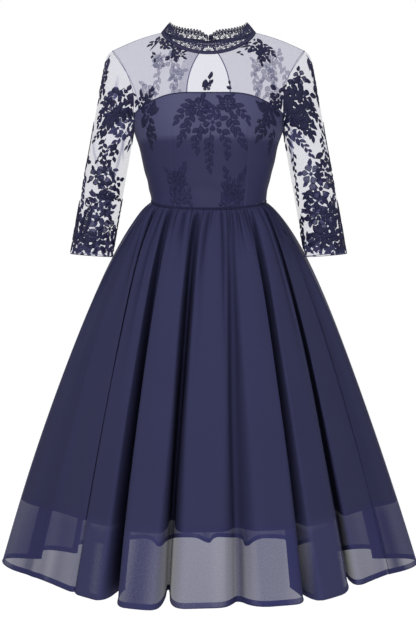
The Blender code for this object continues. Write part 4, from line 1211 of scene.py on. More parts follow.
class Looks:
    """All the materials of the dress, and the node groups that they share."""

    def __init__(self) -> None:
        """Build the shared groups, and then each finish."""
        self.weave = self.weave_group()
        self.clouds = self.clouds_group()
        self.stitches = self.stitches_group()
        self.net_holes = self.net_group()
        self.lace_holes = self.lace_group()
        self.satin = self.cloth(SATIN, Weave.SATIN, fold_shade=0.5, lit_above=True)
        self.lining = self.cloth(LINING, Weave.LINING, fold_shade=0.4)
        self.tape = self.cloth(TAPE, Weave.TAPE, fold_shade=0.3)
        self.hem = self.cloth(HEM, Weave.CHIFFON, fold_shade=0.3)
        self.chiffon = self.sheer_chiffon(CHIFFON)
        self.net = self.sheer_net(NET, NET.name, 0.20)
        self.sleeve_net = self.sheer_net(NET, "sleeve_net", 0.10)
        self.open_work = self.netted_petals(OPEN_WORK, 0.62, 0.90)
        self.shadow_work = self.netted_petals(SHADOW_WORK, 0.16, 0.45)
        self.thread = self.stitched(THREAD, 520.0)
        self.tonal = self.stitched(TONAL, 520.0)
        self.crochet = self.stitched(CROCHET, 900.0)
        self.lace = self.crochet_ground(CROCHET)
        self.cord = self.stitched(CORD, 700.0)
        self.pale_cord = self.stitched(PALE_CORD, 700.0)
        self.metal = self.hard(LACQUER, 260.0)
        self.tooth = self.hard(TOOTH, 400.0)
        self.button = self.hard(BUTTON, 180.0)

    @staticmethod
    def group(name: str, inputs: dict[str, float], outputs: Sequence[str]) -> tuple[Graph, dict, dict]:
        """A new node group with float inputs, their starting values, and float outputs.

        Args:
            name: the group's name.
            inputs: input name to its starting value.
            outputs: names of the outputs.

        Returns:
            Its graph, its inputs' sockets by name, and the sockets that its outputs end in.
        """
        tree = bpy.data.node_groups.new(name, "ShaderNodeTree")
        for key, value in inputs.items():
            socket = tree.interface.new_socket(key, in_out="INPUT", socket_type="NodeSocketFloat")
            socket.default_value = value
        for key in outputs:
            tree.interface.new_socket(key, in_out="OUTPUT", socket_type="NodeSocketFloat")
        graph = Graph(tree)
        given, out = graph.node("NodeGroupInput").outputs, graph.node("NodeGroupOutput").inputs
        return graph, {s.name: s for s in given if s.name}, {s.name: s for s in out if s.name}

    def weave_group(self) -> Tree:
        """Yarns: the sine across times the sine up, without their signs, uneven with noise.

        Returns:
            The group.
        """
        graph, given, out = self.group("yarn_weave", {"Yarns": 1200.0, "Slub": 0.3}, ("Height", "Yarn"))
        waves = []
        for place in graph.along_up():
            phase = graph.math("MULTIPLY", graph.math("MULTIPLY", place, given["Yarns"]), math.pi)
            waves.append(graph.math("ABSOLUTE", graph.math("SINE", phase)))
        weave = graph.math("MULTIPLY", *waves)
        uneven = graph.math("SUBTRACT", graph.noise(graph.cloth_place(), 420.0, 2.0), 0.5)
        slub = graph.math("MULTIPLY", uneven, given["Slub"])
        graph.feed(out["Height"], graph.math("ADD", weave, slub))
        graph.feed(out["Yarn"], graph.math("MULTIPLY_ADD", weave, 0.7, 0.3, clamp=True))
        return graph.tree

    def clouds_group(self) -> Tree:
        """Slow changes of tone over the cloth, from two sizes of noise on Object coordinates.

        Returns:
            The group.
        """
        graph, given, out = self.group("cloth_tone", {"Size": 9.0, "Depth": 0.5}, ("Tone",))
        place = graph.object_place()
        large = graph.math("MULTIPLY", graph.noise(place, given["Size"], 2.0), 0.65)
        tone = graph.math("MULTIPLY_ADD", graph.noise(place, 240.0, 3.0), 0.35, large)
        centred = graph.math("MULTIPLY", graph.math("SUBTRACT", tone, 0.5), given["Depth"])
        graph.feed(out["Tone"], graph.math("MULTIPLY_ADD", centred, 3.0, 0.5, clamp=True))
        return graph.tree

    def stitches_group(self) -> Tree:
        """Slanted stitches: a wave that rises away from the middle line on both sides of it.

        Returns:
            The group.
        """
        starting = {"Stitches": 500.0, "Slant": 1.2}
        graph, given, out = self.group("satin_stitch", starting, ("Height", "Dark"))
        across, up = graph.along_up()
        slanted = graph.math("MULTIPLY_ADD", graph.math("ABSOLUTE", across), given["Slant"], up)
        phase = graph.math("MULTIPLY", graph.math("MULTIPLY", slanted, given["Stitches"]), math.tau)
        wave = graph.math("MULTIPLY_ADD", graph.math("SINE", phase), 0.5, 0.5)
        graph.feed(out["Height"], wave)
        graph.feed(out["Dark"], graph.math("SUBTRACT", 1.0, graph.math("POWER", wave, 0.6)))
        return graph.tree

    def net_group(self) -> Tree:
        """Cells of a net: how near a point lies to the threads between Voronoi cells.

        Returns:
            The group.
        """
        graph, given, out = self.group("net_cells", {"Cells": 900.0, "Thread": 0.16}, ("Thread",))
        settings = {"Vector": graph.cloth_place(), "Scale": given["Cells"], "Randomness": 0.12}
        away = graph.node("ShaderNodeTexVoronoi", settings, feature="DISTANCE_TO_EDGE").outputs[0]
        away = graph.math("DIVIDE", away, given["Thread"])
        graph.feed(out["Thread"], graph.math("SUBTRACT", 1.0, away, clamp=True))
        return graph.tree

    @staticmethod
    def round_holes(graph: Graph, place: tuple, pitch: float, shift: float, base: float,
                    ring: tuple[float, float], spokes: float) -> Socket:
        """Holes of one round motif, repeated along the lace: 1 in a hole and 0 on the thread.

        With r and a the distance and the turn about the motif's middle, a hole lies between two
        radii wherever the sine of a times the spokes is large.

        Args:
            graph: where its nodes go.
            place: metres along and up the lace.
            pitch: from one motif to the next.
            shift: share of the pitch by which they are moved.
            base: height of their middles.
            ring: the two radii.
            spokes: half as many as the threads round the middle.

        Returns:
            The mask.
        """
        along, up = place
        cell = graph.math("FRACT", graph.math("MULTIPLY_ADD", along, 1 / pitch, shift))
        x = graph.math("MULTIPLY", graph.math("SUBTRACT", cell, 0.5), pitch)
        y = graph.math("SUBTRACT", up, base)
        radius = graph.math("SQRT", graph.math("MULTIPLY_ADD", x, x, graph.math("MULTIPLY", y, y)))
        turn = graph.math("ARCTAN2", y, x)
        spoke = graph.math("ABSOLUTE", graph.math("SINE", graph.math("MULTIPLY", turn, spokes)))
        inside = graph.math("MULTIPLY", graph.math("GREATER_THAN", radius, ring[0]),
                            graph.math("LESS_THAN", radius, ring[1]))
        return graph.math("MULTIPLY", inside, graph.math("GREATER_THAN", spoke, SPOKE_EDGE))

    def lace_group(self) -> Tree:
        """The crochet's holes: two rows in each fan, a ring in each rosette, and small ones.

        Returns:
            The group.
        """
        graph, _, out = self.group("crochet_holes", {}, ("Thread",))
        place = graph.along_up()
        above = graph.math("GREATER_THAN", place[1], FAN_BASE)
        holes = [
            self.round_holes(graph, place, FAN_PITCH, 0.0, FAN_BASE, FAN_RINGS[:2], FAN_SPOKES),
            self.round_holes(graph, place, FAN_PITCH, 0.0, FAN_BASE, FAN_RINGS[2:], FAN_SPOKES),
            self.round_holes(graph, place, FAN_PITCH, 0.5, ROSETTE_BASE, ROSETTE_RING, 4.0),
            self.round_holes(graph, place, FAN_PITCH / SHELLS, 0.0, SHELL_BASE, SHELL_RING, 4.0),
        ]
        hole = holes[0]
        for other in holes[1:]:
            hole = graph.math("MAXIMUM", hole, other)
        graph.feed(out["Thread"], graph.math("SUBTRACT", 1.0, graph.math("MULTIPLY", hole, above)))
        return graph.tree

    @staticmethod
    def start(finish: Finish, name: str | None = None) -> tuple[Graph, Node]:
        """A new material with its even values set on the shader's own sockets.

        Args:
            finish: its even values.
            name: the material's, where it isn't the finish's own.

        Returns:
            Its graph and its shader.
        """
        material = bpy.data.materials.new(name or finish.name)
        material.use_nodes = True
        graph, shader = Graph(material.node_tree), material.node_tree.nodes["Principled BSDF"]
        for key, value in (
            ("Base Color", four(finish.colour)), ("Roughness", finish.roughness),
            ("Metallic", finish.metallic), ("Coat Weight", finish.coat),
            ("Specular IOR Level", finish.specular),
        ):
            shader.inputs[key].default_value = value
        return graph, shader

    def toned(self, graph: Graph, finish: Finish, depth: float) -> Socket:
        """The finish's colour, drifting towards its shade over the cloth."""
        tone = graph.placed(self.clouds, Depth=depth)["Tone"]
        return graph.blend(tone, four(finish.shade), four(finish.colour))

    def cloth(self, finish: Finish, weave: Weave, fold_shade: float,
              lit_above: bool = False) -> Material:
        """An opaque cloth: yarns in its bump, painted shade between its yarns, and slow changes of
        tone.

        Args:
            finish: its even values.
            weave: how its yarns run.
            fold_shade: how far its tone drifts.
            lit_above: whether its upper part is painted paler, as lit from above.

        Returns:
            The material.
        """
        graph, shader = self.start(finish)
        yarns, depth = weave.value
        group = graph.placed(self.weave, Yarns=yarns)
        base = self.toned(graph, finish, fold_shade)
        # painted light: from the bust up the satin is lighter, as lit from above
        if lit_above:
            place = graph.node("ShaderNodeSeparateXYZ", {0: graph.object_place()})
            upper_light = graph.math("MULTIPLY", graph.share(place.outputs[2], *LIT_UPPER_EDGE), LIT_UPPER_SHARE)
            base = graph.blend(upper_light, base, four(LIT_UPPER_SATIN))
        # painted shade in the gaps between the yarns
        yarn_gap_shade = graph.math("MULTIPLY", graph.math("SUBTRACT", 1.0, group["Yarn"]), 0.35)
        colour = graph.blend(yarn_gap_shade, base, four(finish.shade))
        rough = graph.math("MULTIPLY_ADD", group["Yarn"], -0.12, finish.roughness + 0.08)
        return graph.dressed(shader, (group["Height"], depth, 0.0004),
                             {"Base Color": colour, "Roughness": rough})

    @staticmethod
    def drawn_noise(graph: Graph, around: float, down: float,
                    ends: tuple[float, float]) -> Socket:
        """Noise drawn out down the cloth, 0 to 1.

        Args:
            graph: where its nodes go.
            around: how fine it is round the skirt, by the "around" attribute.
            down: how fine it is down the cloth, for each metre.
            ends: values of the noise that become 0 and 1.

        Returns:
            The socket that it comes out of.
        """
        drawn = graph.node("ShaderNodeCombineXYZ", {
            "X": graph.math("MULTIPLY", graph.attribute("around"), around),
            "Y": graph.math("MULTIPLY", graph.along_up()[1], down),
        })
        return graph.share(graph.noise(drawn.outputs[0], 1.0, 1.0), *ends)

    def sheer_chiffon(self, finish: Finish) -> Material:
        """Chiffon: sheer between its yarns, darker in folds, in its turned hem and where doubled.

        The finest gathers are noise drawn out down the cloth, as strong as the "gather"
        attribute. They and the "fold" attribute make it denser and darken its colour: painted
        shade in the folds and between the gathers, partly the tone of cloth lying doubled there.
        Below the lining, the "doubled" attribute and slow bands make it denser, and so darker.

        Args:
            finish: its even values.

        Returns:
            The material.
        """
        graph, shader = self.start(finish)
        crepe, up = graph.noise(graph.cloth_place(), 320.0, 3.0), graph.along_up()[1]
        doubled = graph.attribute("doubled")
        unlined = graph.share(up, *UNLINED_LENGTH, 1.0, 0.0)
        pucker = graph.math("MULTIPLY", self.drawn_noise(graph, *PUCKERS), graph.attribute("gather"))
        fold = graph.math("MAXIMUM", graph.attribute("fold"), pucker)

        single = graph.math("MULTIPLY", unlined, graph.math("SUBTRACT", 1.0, doubled))
        base = graph.blend(crepe, self.toned(graph, finish, 0.35), four(finish.shade))
        base = graph.blend(single, base, four(UNLINED_TINT))
        # painted shade in the folds and between the gathers, partly the tone of doubled chiffon
        base = graph.blend(fold, base, four(FOLD_SHADE))

        hem = graph.math("LESS_THAN", up, HEM_TURNING)
        cover = graph.math("MULTIPLY_ADD", crepe, COVER.crepe, COVER.chiffon)
        cover = graph.math("MULTIPLY_ADD", hem, COVER.turning, cover, clamp=True)
        bands = graph.math("MULTIPLY", doubled, COVER.doubled)
        bands = graph.math("MULTIPLY_ADD", self.drawn_noise(graph, *BANDS), COVER.band, bands)
        cover = graph.math("MULTIPLY_ADD", unlined, bands, cover)
        cover = graph.math("MULTIPLY_ADD", fold, COVER.fold, cover, clamp=True)

        height = graph.math("MULTIPLY_ADD", pucker, -3.0, crepe)
        return graph.dressed(shader, (height, Weave.CHIFFON.value[1], 0.0010),
                             {"Base Color": base, "Alpha": cover})

    def sheer_net(self, finish: Finish, name: str, least: float) -> Material:
        """Net: threads round open cells, most of each cell clear.

        Args:
            finish: its even values.
            name: the material's.
            least: how much a cell's own middle covers.

        Returns:
            The material.
        """
        graph, shader = self.start(finish, name)
        thread = graph.placed(self.net_holes)["Thread"]
        cover = graph.math("MULTIPLY_ADD", thread, COVER.net_thread, least)
        cover = graph.math("MULTIPLY_ADD", graph.attribute("fold"), COVER.net_fold, cover)
        return graph.dressed(shader, (thread, 0.2, 0.0003),
                             {"Base Color": self.toned(graph, finish, 0.4), "Alpha": cover})

    def netted_petals(self, finish: Finish, least: float, most: float) -> Material:
        """Open work: slanted stitches with a little light between them.

        Args:
            finish: its even values.
            least: how much is covered between two stitches.
            most: how much a stitch covers.

        Returns:
            The material.
        """
        graph, shader = self.start(finish)
        group = graph.placed(self.stitches, Stitches=360.0)
        # painted shade in the grooves between the stitches
        colour = graph.blend(group["Dark"], self.toned(graph, finish, 0.5), four(finish.shade))
        cover = graph.math("MULTIPLY_ADD", group["Height"], most - least, least)
        return graph.dressed(shader, (group["Height"], 0.4, 0.0005),
                             {"Base Color": colour, "Alpha": cover})

    def crochet_ground(self, finish: Finish) -> Material:
        """Crochet: rows of small loops, open in the holes of its fans, rosettes and shells.

        Args:
            finish: its even values.

        Returns:
            The material.
        """
        graph, shader = self.start(finish, "crochet_ground")
        waves = [graph.math("SINE", graph.math("MULTIPLY", place, math.tau / LOOP_PITCH))
                 for place in graph.along_up()]
        loops = graph.math("ABSOLUTE", graph.math("ADD", *waves))
        gap = graph.math("MULTIPLY", graph.math("LESS_THAN", loops, 0.22), 0.55)
        cover = graph.math("MULTIPLY", graph.placed(self.lace_holes)["Thread"],
                           graph.math("SUBTRACT", 1.0, gap))
        raised = graph.math("MULTIPLY", loops, 0.5, clamp=True)
        # painted shade in the hollows between the loops
        colour = graph.blend(raised, four(finish.shade), self.toned(graph, finish, 0.6))
        return graph.dressed(shader, (loops, 0.6, 0.0005), {"Base Color": colour, "Alpha": cover})

    def stitched(self, finish: Finish, stitches: float) -> Material:
        """Threads laid side by side: slanted stitches in the bump, and painted shade between them.

        Args:
            finish: its even values.
            stitches: how many to the metre.

        Returns:
            The material.
        """
        graph, shader = self.start(finish)
        group = graph.placed(self.stitches, Stitches=stitches)
        # painted shade in the grooves between the stitches
        colour = graph.blend(group["Dark"], self.toned(graph, finish, 0.6), four(finish.shade))
        rough = graph.math("MULTIPLY_ADD", group["Dark"], 0.25, finish.roughness, clamp=True)
        return graph.dressed(shader, (group["Height"], 0.5, 0.0006),
                             {"Base Color": colour, "Roughness": rough})

    def hard(self, finish: Finish, scale: float) -> Material:
        """Lacquered metal or moulded shell: a faint orange peel, and roughness worn in spots.

        Args:
            finish: its even values.
            scale: how fine its wear is.

        Returns:
            The material.
        """
        graph, shader = self.start(finish)
        place = graph.object_place()
        worn = graph.noise(place, scale, 4.0)
        rough = graph.math("MULTIPLY_ADD", worn, 0.30, finish.roughness - 0.12, clamp=True)
        colour = graph.blend(worn, four(finish.shade), four(finish.colour))
        return graph.dressed(shader, (graph.noise(place, scale * 8, 2.0), 0.08, 0.0002),
                             {"Base Color": colour, "Roughness": rough})


# ---- embroidery ---------------------------------------------------------------------------


class Motif(Enum):
    """The kinds of thing that the embroidery is drawn with."""

    SPRAY = "a stem with leaves on both sides"
    FLOWER = "petals round a knot, with leaves behind them"
    NETTED = "a flower whose petals are open work inside a cord"
    CLUSTER = "leaves and flowers set close together"
    SCROLL = "a cord that winds into a spiral"
    FERN = "a stem with many narrow leaflets"


class Stitch(NamedTuple):
    """One motif on a piece: where it starts, which way it runs, and how large it is.

    u and v are shares along and up the piece's surface; heading is in degrees from the direction
    along it towards the direction up it; size is its length in metres; bend is the turn in
    degrees from its start to its end; count is of its leaves.
    """

    motif: Motif
    u: float
    v: float
    heading: float
    size: float
    bend: float
    count: int
    leaf: float


def sown(patch: Patch, rows: Sequence[tuple], facing: float = 0.0) -> list[Stitch]:
    """Stitches from rows that give the place on a patch by x and z in the front view.

    Args:
        patch: the surface.
        rows: as a stitch, with x and z for u and v, its lengths in millimetres.
        facing: the side that the places are on, as for the patch's nearest point.

    Returns:
        The stitches, their places as shares and their lengths in metres.
    """
    out = []
    for motif, x, z, heading, size, bend, count, leaf in rows:
        u, v = patch.nearest(x / 1000, z / 1000, facing)
        out.append(Stitch(motif, u, v, heading, size / 1000, bend, count, leaf / 1000))
    return out


PAD_STATIONS = np.array([0.10, 0.30, 0.52, 0.74, 0.91])
PAD_ACROSS = np.array([0.0, -0.55, -1.0, 0.0, 1.0, 0.55])
PAD_RISE = np.array([0.62, 1.0, 0.0, -0.5, 0.0, 1.0])
STEM_POINTS = 11
SCROLL_POINTS = 30
SPREAD_STEPS = 5
OUTLINE_POINTS = 8
OUTLINE_RADIUS = 0.00075


class Needlework:
    """Raised motifs on one surface: pads for leaves and petals, cords for stems."""

    def __init__(self, patch: Patch, seed: int, lift: float = 0.0004, height: float = 0.0011) -> None:
        """Start with nothing sewn.

        Args:
            patch: the surface.
            seed: of the small unevenness from leaf to leaf.
            lift: how far the motifs' underside stands off the cloth.
            height: how thick the motifs are.
        """
        self.patch = patch
        self.rng = np.random.default_rng(seed)
        self.lift, self.height = lift, height
        self.pads: list[Array] = []
        self.netted: list[Array] = []
        self.cords: dict[int, list[tuple[Array, Array]]] = {STEM_POINTS: [], SCROLL_POINTS: []}

    def place(self, anchor: Array, offset: Array) -> Array:
        """Shares (u, v) of points a few millimetres from their anchors.

        Args:
            anchor: shares (u, v), of a shape that goes with offset's.
            offset: metres along and up the cloth.

        Returns:
            The anchor plus the offset times the cloth's inverse slopes there.
        """
        along, up = self.patch.steps(anchor[..., 0], anchor[..., 1])
        return anchor + offset[..., :1] * along + offset[..., 1:2] * up

    def walk(self, start: Array, steps: Array) -> Array:
        """Shares of every point of a path, each step turned into shares where it is taken.

        Args:
            start: shares (u, v).
            steps: metres along and up, step by step.

        Returns:
            The path, its start included.
        """
        places = [start]
        for step in np.moveaxis(steps, -2, 0):
            places.append(self.place(places[-1], step))
        return np.stack(places, axis=-2)

    def spread(self, anchor: Array, offset: Array) -> Array:
        """Shares of points farther off, each reached from the anchor in a few equal steps."""
        steps = np.repeat(offset[..., None, :] / SPREAD_STEPS, SPREAD_STEPS, axis=-2)
        return self.walk(np.broadcast_to(anchor, offset.shape), steps)[..., -1, :]

    def stem(self, stitch: Stitch, anchor: Array, thickness: float) -> tuple[Array, Array]:
        """Sew a curved stem, its heading turning evenly from start to end.

        Args:
            stitch: the motif, its size and how it runs.
            anchor: shares (u, v) of its place.
            thickness: the cord's radius where it starts.

        Returns:
            Its places and its headings.
        """
        turn = math.radians(stitch.heading) + math.radians(stitch.bend) * np.linspace(0, 1, STEM_POINTS)
        middle = (turn[1:] + turn[:-1]) / 2
        steps = np.stack([np.cos(middle), np.sin(middle)], axis=-1) * stitch.size / (STEM_POINTS - 1)
        path = self.walk(anchor, steps)
        self.sew_cord(path, thickness)
        return path, turn

    def sew_cord(self, path: Array, thickness: float) -> None:
        """Lay a cord along a path of shares, thinner towards its end."""
        self.cords[len(path)].append((path, thickness * (1.0 - 0.45 * np.linspace(0, 1, len(path)))))

    def sew_pads(self, start: Array, heading: Array, length: Array, width: Array, bend: Array,
                 peak: float = 0.45, netted: bool = False) -> None:
        """Add leaves or petals.

        Args:
            start: N by 2, the shares where each starts.
            heading: the pads' directions, in radians.
            length: their lengths.
            width: their half widths.
            bend: how far each turns from its start to its end.
            peak: share of the length where a pad is widest.
            netted: whether they are open work inside a cord.
        """
        columns = (heading, length, width, bend, np.full(len(start), peak))
        (self.netted if netted else self.pads).append(np.column_stack([start, *columns]))

    def jitter(self, count: int, spread: float) -> Array:
        """Factors about 1, evenly spread to both sides."""
        return self.rng.uniform(1 - spread, 1 + spread, count)

    @staticmethod
    def between(shares: Array, path: Array, turn: Array) -> tuple[Array, Array]:
        """Places and headings at shares of a stem's length.

        Args:
            shares: of the stem's length.
            path: its places.
            turn: its headings.

        Returns:
            The places and the headings.
        """
        whole = np.linspace(0, 1, len(path))
        at = np.stack([np.interp(shares, whole, path[:, axis]) for axis in range(2)], axis=-1)
        return at, np.interp(shares, whole, turn)

    def spray(self, stitch: Stitch, anchor: Array) -> None:
        """A curved stem, leaves in turn on its two sides, and one at its tip.

        Args:
            stitch: the motif, its size and how it runs.
            anchor: shares (u, v) of its place.
        """
        path, turn = self.stem(stitch, anchor, 0.0009)
        s = np.linspace(0.08, 0.92, stitch.count)
        side = np.where(np.arange(stitch.count) % 2 == 0, 1.0, -1.0)
        at, way = self.between(s, path, turn)
        length = stitch.leaf * (1.12 - 0.40 * s) * self.jitter(stitch.count, 0.18)
        way = way + side * np.radians(54 - 16 * s) * self.jitter(stitch.count, 0.25)
        self.sew_pads(at, way, length, length * 0.29 * self.jitter(stitch.count, 0.2), side * -0.5)
        tip = np.array([stitch.leaf * 0.95])
        self.sew_pads(path[-1:], turn[-1:], tip, tip * 0.24, np.zeros(1))

    def bloom(self, centre: Array, size: float, start: float, netted: bool = False) -> None:
        """Five or six round petals about a knot.

        Args:
            centre: shares (u, v) of its middle.
            size: metres across it.
            start: heading of its first petal.
            netted: whether its petals are open work.
        """
        petals = 5 + int(self.rng.integers(0, 2))
        way = start + np.arange(petals) * math.tau / petals
        radius = size / 2
        out = np.stack([np.cos(way), np.sin(way)], axis=-1)
        length = radius * 0.80 * self.jitter(petals, 0.10)
        base = self.place(centre, 0.24 * radius * out)
        self.sew_pads(base, way, length, length * 0.43, np.zeros(petals), peak=0.64, netted=netted)
        knot, none = np.array([radius * 0.44]), np.zeros(1)
        left = self.place(centre, np.array([[-knot[0] / 2, 0.0]]))
        self.sew_pads(left, none, knot, knot * 0.5, none, peak=0.5)

    def flower(self, stitch: Stitch, anchor: Array) -> None:
        """A bloom with pointed leaves round it.

        Args:
            stitch: the motif, its size and how it runs.
            anchor: shares (u, v) of its place.
        """
        start = math.radians(stitch.heading) + self.rng.uniform(0, 1)
        self.bloom(anchor, stitch.size, start, netted=stitch.motif is Motif.NETTED)
        if stitch.count:
            out = start + (np.arange(stitch.count) + 0.5) * math.tau / stitch.count
            base = 0.40 * stitch.size * np.stack([np.cos(out), np.sin(out)], axis=-1)
            leaf = stitch.leaf * self.jitter(stitch.count, 0.2)
            way = out + self.rng.uniform(-0.4, 0.4, stitch.count)
            bend = self.rng.uniform(-0.6, 0.6, stitch.count)
            self.sew_pads(self.spread(anchor, base), way, leaf, leaf * 0.27, bend)

    def cluster(self, stitch: Stitch, anchor: Array) -> None:
        """Leaves spread by the golden angle over a round of the motif's size, blooms among them.

        Args:
            stitch: the motif, its size and how it runs.
            anchor: shares (u, v) of its place.
        """
        n = stitch.count
        radius = stitch.size / 2 * np.sqrt((np.arange(n) + 0.5) / n)
        angle = np.arange(n) * math.pi * (3 - math.sqrt(5)) + math.radians(stitch.heading)
        stretch = 1 + math.radians(stitch.bend)
        offset = np.stack([radius * np.cos(angle), radius * np.sin(angle) * stretch], axis=-1)
        at = self.spread(anchor, offset)
        leaf = stitch.leaf * self.jitter(n, 0.3)
        way = angle + self.rng.uniform(-0.9, 0.9, n)
        half = leaf * 0.27 * self.jitter(n, 0.2)
        self.sew_pads(at, way, leaf, half, self.rng.uniform(-0.7, 0.7, n))
        for k in range(0, n, 9):
            self.bloom(at[(k * 5 + 2) % n], stitch.leaf * 1.8, self.rng.uniform(0, 1))

    def scroll(self, stitch: Stitch, anchor: Array) -> None:
        """A cord that winds inwards, its radius falling evenly, with small leaves outside it.

        Args:
            stitch: the motif, its size and how it runs.
            anchor: shares (u, v) of its place.
        """
        t = np.linspace(0, 1, SCROLL_POINTS)
        turn = math.radians(stitch.heading) + math.radians(stitch.bend) * t ** 1.15
        radius = stitch.size / 2 * (1 - 0.82 * t)
        offset = np.stack([radius * np.cos(turn), radius * np.sin(turn)], axis=-1)
        path = self.walk(self.spread(anchor, offset[0]), np.diff(offset, axis=0))
        self.sew_cord(path, 0.0016)
        at, way = self.between(np.linspace(0.02, 0.55, stitch.count), path, turn)
        curl = 0.5 * float(np.sign(stitch.bend))
        leaf = stitch.leaf * self.jitter(stitch.count, 0.2)
        self.sew_pads(at, way + curl, leaf, leaf * 0.27, np.full(stitch.count, curl))

    def fern(self, stitch: Stitch, anchor: Array) -> None:
        """A stem with narrow leaflets in pairs, longest in the middle, like a feather.

        Args:
            stitch: the motif, its size and how it runs.
            anchor: shares (u, v) of its place.
        """
        path, turn = self.stem(stitch, anchor, 0.0010)
        s = np.repeat(np.linspace(0.06, 0.95, stitch.count), 2)
        side = np.tile([1.0, -1.0], stitch.count)
        at, way = self.between(s, path, turn)
        length = stitch.leaf * (0.35 + 0.75 * np.sin(math.pi * np.clip(s * 1.05, 0, 1) ** 0.8))
        self.sew_pads(at, way + side * np.radians(48), length, np.full(len(s), 0.0017), side * -0.5)

    def sew(self, stitches: Sequence[Stitch]) -> None:
        """Sew each motif of a table where it says.

        Args:
            stitches: the table.
        """
        ways = {
            Motif.SPRAY: self.spray, Motif.FLOWER: self.flower, Motif.NETTED: self.flower,
            Motif.CLUSTER: self.cluster, Motif.SCROLL: self.scroll, Motif.FERN: self.fern,
        }
        for stitch in stitches:
            ways[stitch.motif](stitch, np.array([stitch.u, stitch.v]))

    def pad_shape(self, rows: Array, s: Array) -> tuple[Array, Array, Array, Array]:
        """Middle lines, directions across, half widths and swell of pads at shares of their length.

        Along a pad its heading turns evenly. Its half width is the sine of the share along,
        skewed to its widest place, to the power 0.8.

        Args:
            rows: the pads, as they were added.
            s: shares of their length.

        Returns:
            Each for every pad and share.
        """
        heading, length, width, bend, peak = (rows[:, k, None] for k in range(2, 7))
        turn, middle = heading + bend * s, heading + bend * s / 2
        path = (length * s)[..., None] * np.stack([np.cos(middle), np.sin(middle)], axis=-1)
        across = np.stack([-np.sin(turn), np.cos(turn)], axis=-1)
        swell = np.clip(np.sin(math.pi * s ** (np.log(0.5) / np.log(peak))), 0, 1)
        return path, across, width * swell ** 0.8, swell

    def pad_solid(self, rows: Array, height: float) -> Solid:
        """Leaves and petals as one solid, their backs highest between middle line and edges.

        Args:
            rows: the pads, as they were added.
            height: of their backs.

        Returns:
            The solid.
        """
        s = np.concatenate([[0.0], PAD_STATIONS, [1.0]])[None]
        path, across, half, swell = self.pad_shape(rows, s)
        reach = half[:, 1:-1, None] * PAD_ACROSS
        ring = path[:, 1:-1, None] + across[:, 1:-1, None] * reach[..., None]
        rise = self.lift + height * PAD_RISE * np.sqrt(swell[:, 1:-1, None])
        n = len(rows)
        flat = np.concatenate([path[:, :1], ring.reshape(n, -1, 2), path[:, -1:]], axis=1)
        low = np.full((n, 1), self.lift)
        lift = np.concatenate([low, rise.reshape(n, -1), low], axis=1)
        place = self.place(rows[:, None, 0:2], flat)
        vertices = self.patch.at(place[..., 0], place[..., 1], lift)
        along = rows[:, 3, None] * s
        ring_uv = np.stack([reach, np.broadcast_to(along[:, 1:-1, None], reach.shape)], axis=-1)
        ends = np.stack([np.zeros_like(along), along], axis=-1)
        uv = np.concatenate([ends[:, :1], ring_uv.reshape(n, -1, 2), ends[:, -1:]], axis=1)
        faces = stacked_rings(n, len(PAD_STATIONS), len(PAD_ACROSS))
        return Solid(vertices.reshape(-1, 3), faces, uv.reshape(-1, 2))

    def outlines(self, rows: Array) -> Solid:
        """A cord round the edge of each netted petal.

        Args:
            rows: the pads, as they were added.

        Returns:
            The cords.
        """
        s = np.linspace(0, 1, OUTLINE_POINTS)[None]
        path, across, half, _ = self.pad_shape(rows, s)
        left, right = (path + side * across * half[..., None] for side in (1, -1))
        line = np.concatenate([left, right[:, -2:0:-1], left[:, :1]], axis=1)
        place = self.place(rows[:, None, 0:2], line)
        lift = np.full(place.shape[:2], self.lift + self.height / 2)
        centres = self.patch.at(place[..., 0], place[..., 1], lift)
        normals = self.patch.outward(place[..., 0], place[..., 1])
        return tubes(centres, normals, OUTLINE_RADIUS, around=5, flat=0.8)

    def solids(self) -> list[Solid]:
        """The leaves, the cords and the outlines, ready to join.

        Returns:
            The parts.
        """
        out = [self.pad_solid(np.concatenate(self.pads), self.height)]
        for paths in self.cords.values():
            if paths:
                place = np.stack([path for path, _ in paths])
                thick = np.stack([taper for _, taper in paths])
                centres = self.patch.at(place[..., 0], place[..., 1], self.lift + self.height / 2)
                normals = self.patch.outward(place[..., 0], place[..., 1])
                out.append(tubes(centres, normals, thick, around=5, flat=0.7))
        if self.netted:
            out.append(self.outlines(np.concatenate(self.netted)))
        return out

    def open_work(self) -> list[Solid]:
        """The netted petals, thin and flat."""
        return [self.pad_solid(np.concatenate(self.netted), 0.3 * self.height)] if self.netted else []


# ---- the dress's pieces -------------------------------------------------------------------


NARROWEST_CUT = 0.0101          # a narrower strip is cut this wide and turned under


@dataclass
class Rail:
    """Hands each finished piece to the frame: its body, and hides the nodes it stands for."""

    pieces: list[str] = field(default_factory=list)

    def wear(self, piece: Piece, slot: str, *nodes: str) -> Piece:
        """Let a piece ride on the dress, in place of its nodes, which are hidden.

        Args:
            piece: the finished piece.
            slot: not used.
            nodes: the solids that it stands for.

        Returns:
            The same piece.
        """
        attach(piece, DRESS)
        if nodes:
            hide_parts(*nodes)
        self.pieces.append(piece.name)
        LOG.info("%s: %d faces", piece.name, len(piece.data.polygons))
        return piece

    @staticmethod
    def cut(piece: Piece, grid: Array, held: str, rests_on: Sequence[str] = (),
            with_pieces: Sequence[Piece] = (), closed: bool = False) -> None:
        """Work out the width and length of a sheet's cut from its own grid, and keep neither.

        The width is its longest row, the length its longest column.

        Args:
            piece: not used.
            grid: its points.
            held: not used.
            rests_on: not used.
            with_pieces: not used.
            closed: whether the last column joins the first.
        """
        ring = np.concatenate([grid, grid[:, :1]], axis=1) if closed else grid
        width = float(running_length(ring, 1)[:, -1].max())
        length = max(float(running_length(ring, 0)[-1].max()), NARROWEST_CUT)
        width, length = math.ceil(width * 1e4) / 1e4, math.ceil(length * 1e4) / 1e4


